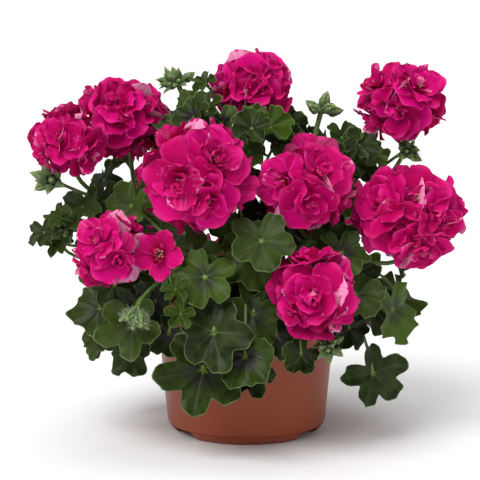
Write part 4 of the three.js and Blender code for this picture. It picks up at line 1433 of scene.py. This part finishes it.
for head in range(len(HEADS)):
    florets = points_object("petals", petals[head])
    threads = points_object("stamens", stamens[head])
    parts = [
        grown(florets, PLACING, Shapes=PETAL_SHAPES, Size=MM, Finish=PETAL),
        grown(threads, PLACING, Shapes=STAMEN_SHAPES, Size=MM, Finish=THREAD),
    ]
    piece(f"flower_head_{head + 1}", parts, f"bloom_{head + 1}")


# The pot and the potting mix


def rounded(profile):
    """A profile with its corners rounded. Each row is a corner's radius from the middle, its height and how
    far the rounding reaches along its sides."""
    made = []
    for i, (radius, height, reach) in enumerate(profile):
        if not reach:
            made.append((radius, height))
            continue
        at = np.array((radius, height), float)
        before, after = (at + unit(np.array(profile[k][:2], float) - at) * reach for k in (i - 1, i + 1))
        made += [tuple(bezier([before, at, after], k / 4)) for k in range(5)]
    return made


def turned(name, profile, segments, finish):
    points = [(r * MM, 0, z * MM) for r, z in profile]
    body = mesh_object(name, points, edges=[(i, i + 1) for i in range(len(points) - 1)])
    return grown(body, TURNING, Points=len(points), Segments=segments, Finish=finish)


def add_prism(points, faces, low, high):
    """Adds the corners and faces of a closed prism between two rings, in mm."""
    faces += tube_faces(len(points), len(low), 2)
    points += [spot * MM for spot in low + high]


def notches_and_drains(p, floor):
    """What is cut out of the pot: four notches in its foot ring and four holes in its floor."""
    points, faces, turn = [], [], p["notch_turn"]
    wide, narrow, top = p["notch_width"] / 2, p["notch_top_width"] / 2, 5.8
    for i, bearing in enumerate((270 - turn, 270 + turn, 90 - turn, 90 + turn)):
        ends = []
        for reach in (p["foot_radius"] - 10, p["foot_radius"] + 10):
            corners = ((-wide, -1), (wide, -1), (narrow, top), (-narrow, top))
            ends.append([on_circle(reach, bearing, z) + on_circle(x, bearing + 90, 0) for x, z in corners])
        add_prism(points, faces, *ends)
        at = on_circle(p["drain_circle"], 90 * i, 0)
        rings = [[at + on_circle(p["drain_radius"], 15 * k, z) for k in range(24)] for z in (3, floor + 2)]
        add_prism(points, faces, *rings)
    return mesh_object("cutters", points, faces=faces)


def make_pot():
    p = POT
    top, rim, wall = p["height"] - p["rim_height"], p["rim_radius"], p["wall"]
    foot, under, floor = p["foot_radius"], p["foot_height"], p["foot_height"] + p["wall"]
    lowest, middle, highest = p["foot_round"]
    profile = [
        (0, under, 0),
        (foot + 3, under, 0.5),
        (foot + 0.4, 3, 0.8),
        (foot - wall, 1, 0.4),
        (foot - wall, 0, 0.2),
        (foot, 0, 0.5),
        (*lowest, 1.0),
        (*middle, 0.9),
        # a fine groove all round, where the foot's mould meets the wall's
        (51.9, 5.7, 0),
        (51.5, 5.95, 0),
        (52.15, 6.2, 0),
        (*highest, 0.9),
        (p["shoulder_radius"], p["shoulder_height"], 1.0),
        (p["top_radius"], top, 0.4),
        (rim, top + 0.6, 0.5),
        (rim, p["height"], 0.6),
        (rim - wall, p["height"], 0.6),
        (p["top_radius"] - wall, top, 0.8),
        (p["shoulder_radius"] - wall, p["shoulder_height"] + 0.8, 1.0),
        (foot + 3.4, floor, 1.0),
        (0, floor, 0),
    ]
    body = turned("pot", rounded(profile), 128, PLASTIC)
    cutters = notches_and_drains(p, floor)
    cut = body.modifiers.new("notches and drain holes", "BOOLEAN")
    cut.operation, cut.solver, cut.object = "DIFFERENCE", "EXACT", cutters
    plain(body)
    bpy.data.objects.remove(cutters)
    body.data.shade_smooth()
    body.data.set_sharp_from_angle(angle=radians(35))
    piece("nursery_pot", [body], "pot")


def make_soil():
    p = POT

    def wall_at(z):
        run = p["height"] - p["rim_height"] - p["shoulder_height"]
        share = (z - p["shoulder_height"]) / run
        return mix(p["shoulder_radius"], p["top_radius"], share) - p["wall"] - GAP

    low = p["foot_height"] + p["wall"] + GAP
    profile = [
        (0, low),
        (p["foot_radius"] + 2.6, low),
        (wall_at(p["shoulder_height"] + 0.8), p["shoulder_height"] + 1.2),
        (wall_at(SOIL_TOP - 2), SOIL_TOP - 2),
    ]
    edge = wall_at(SOIL_TOP) - 4
    profile += [(edge * (1 - i / 20), SOIL_TOP) for i in range(21)]
    body = turned("soil", profile, 72, MIX)
    spots = np.empty(len(body.data.vertices) * 3, np.float32)
    body.data.vertices.foreach_get("co", spots)
    x, y, z = (spots[k::3] / MM for k in range(3))
    lumps = np.sin(x * 0.31 + 1) * np.cos(y * 0.27)
    lumps += 0.5 * np.sin(x * 0.83 + y * 0.6) * np.cos(y * 0.9 - x * 0.2)
    spots[2::3] += np.where(z > SOIL_TOP - 0.5, lumps * 0.7 * MM, 0)
    body.data.vertices.foreach_set("co", spots)
    body.data.shade_smooth()
    body.data.update()
    top = [list(face.vertices) for face in body.data.polygons if face.normal.z > 0.5]
    crumbs = mesh_object("top of the mix", [v.co for v in body.data.vertices], faces=top)
    sizes = {"Density": 1.1e5, "Least": 0.8 * MM, "Most": 2.4 * MM}
    grown(crumbs, SCATTER, Shapes=CRUMB_SHAPES, Seed=5, Finish=CRUMB, **sizes)
    piece("potting_mix", [body, crumbs], "soil")


make_pot()
make_soil()

for used in (BLADES, PETAL_SHAPES, BUD_SHAPES, CRUMB_SHAPES, HAIR_SHAPES, STAMEN_SHAPES):
    for shape in list(used.objects):
        bpy.data.objects.remove(shape)
    bpy.data.collections.remove(used)


# Floor, light and camera

floor = mesh_object("floor", [(-40, -40, 0), (40, -40, 0), (40, 40, 0), (-40, 40, 0)], faces=[(0, 1, 2, 3)])
floor.data.materials.append(pale_floor())

world = bpy.data.worlds.new("soft studio")
bpy.context.scene.world = world
world.use_nodes = True
fill(world.node_tree, world.node_tree.nodes["Background"], {"Color": (1, 1, 1, 1), "Strength": 0.34})

# broad, even lights: where each stands, how wide it is in degrees, and its strength
for name, place, width, strength in (
    ("key", (-0.9, -1.5, 1.8), 40, 2.6),
    ("fill", (1.3, -1.2, 1.2), 60, 0.3),
    ("top", (0.1, 0.2, 1.8), 50, 0.9),
):
    light = bpy.data.lights.new(name, "SUN")
    light.angle, light.energy = radians(width), strength
    lamp = linked(bpy.data.objects.new(name, light))
    lamp.location = place
    lamp.rotation_euler = (-Vector(place)).to_track_quat("-Z", "Y").to_euler()

tilt = radians(VIEW["elevation"])
lens = bpy.data.cameras.new("camera")
lens.lens, lens.sensor_width, lens.clip_end = VIEW["lens"], 36, 200
camera = linked(bpy.data.objects.new("camera", lens))
back = Vector((0, -cos(tilt), sin(tilt))) * VIEW["distance"]
camera.location = (Vector(VIEW["aim"]) + back) * MM
camera.rotation_euler = (pi / 2 - tilt, 0, 0)
bpy.context.scene.camera = camera
bpy.context.scene.view_settings.view_transform = "Standard"
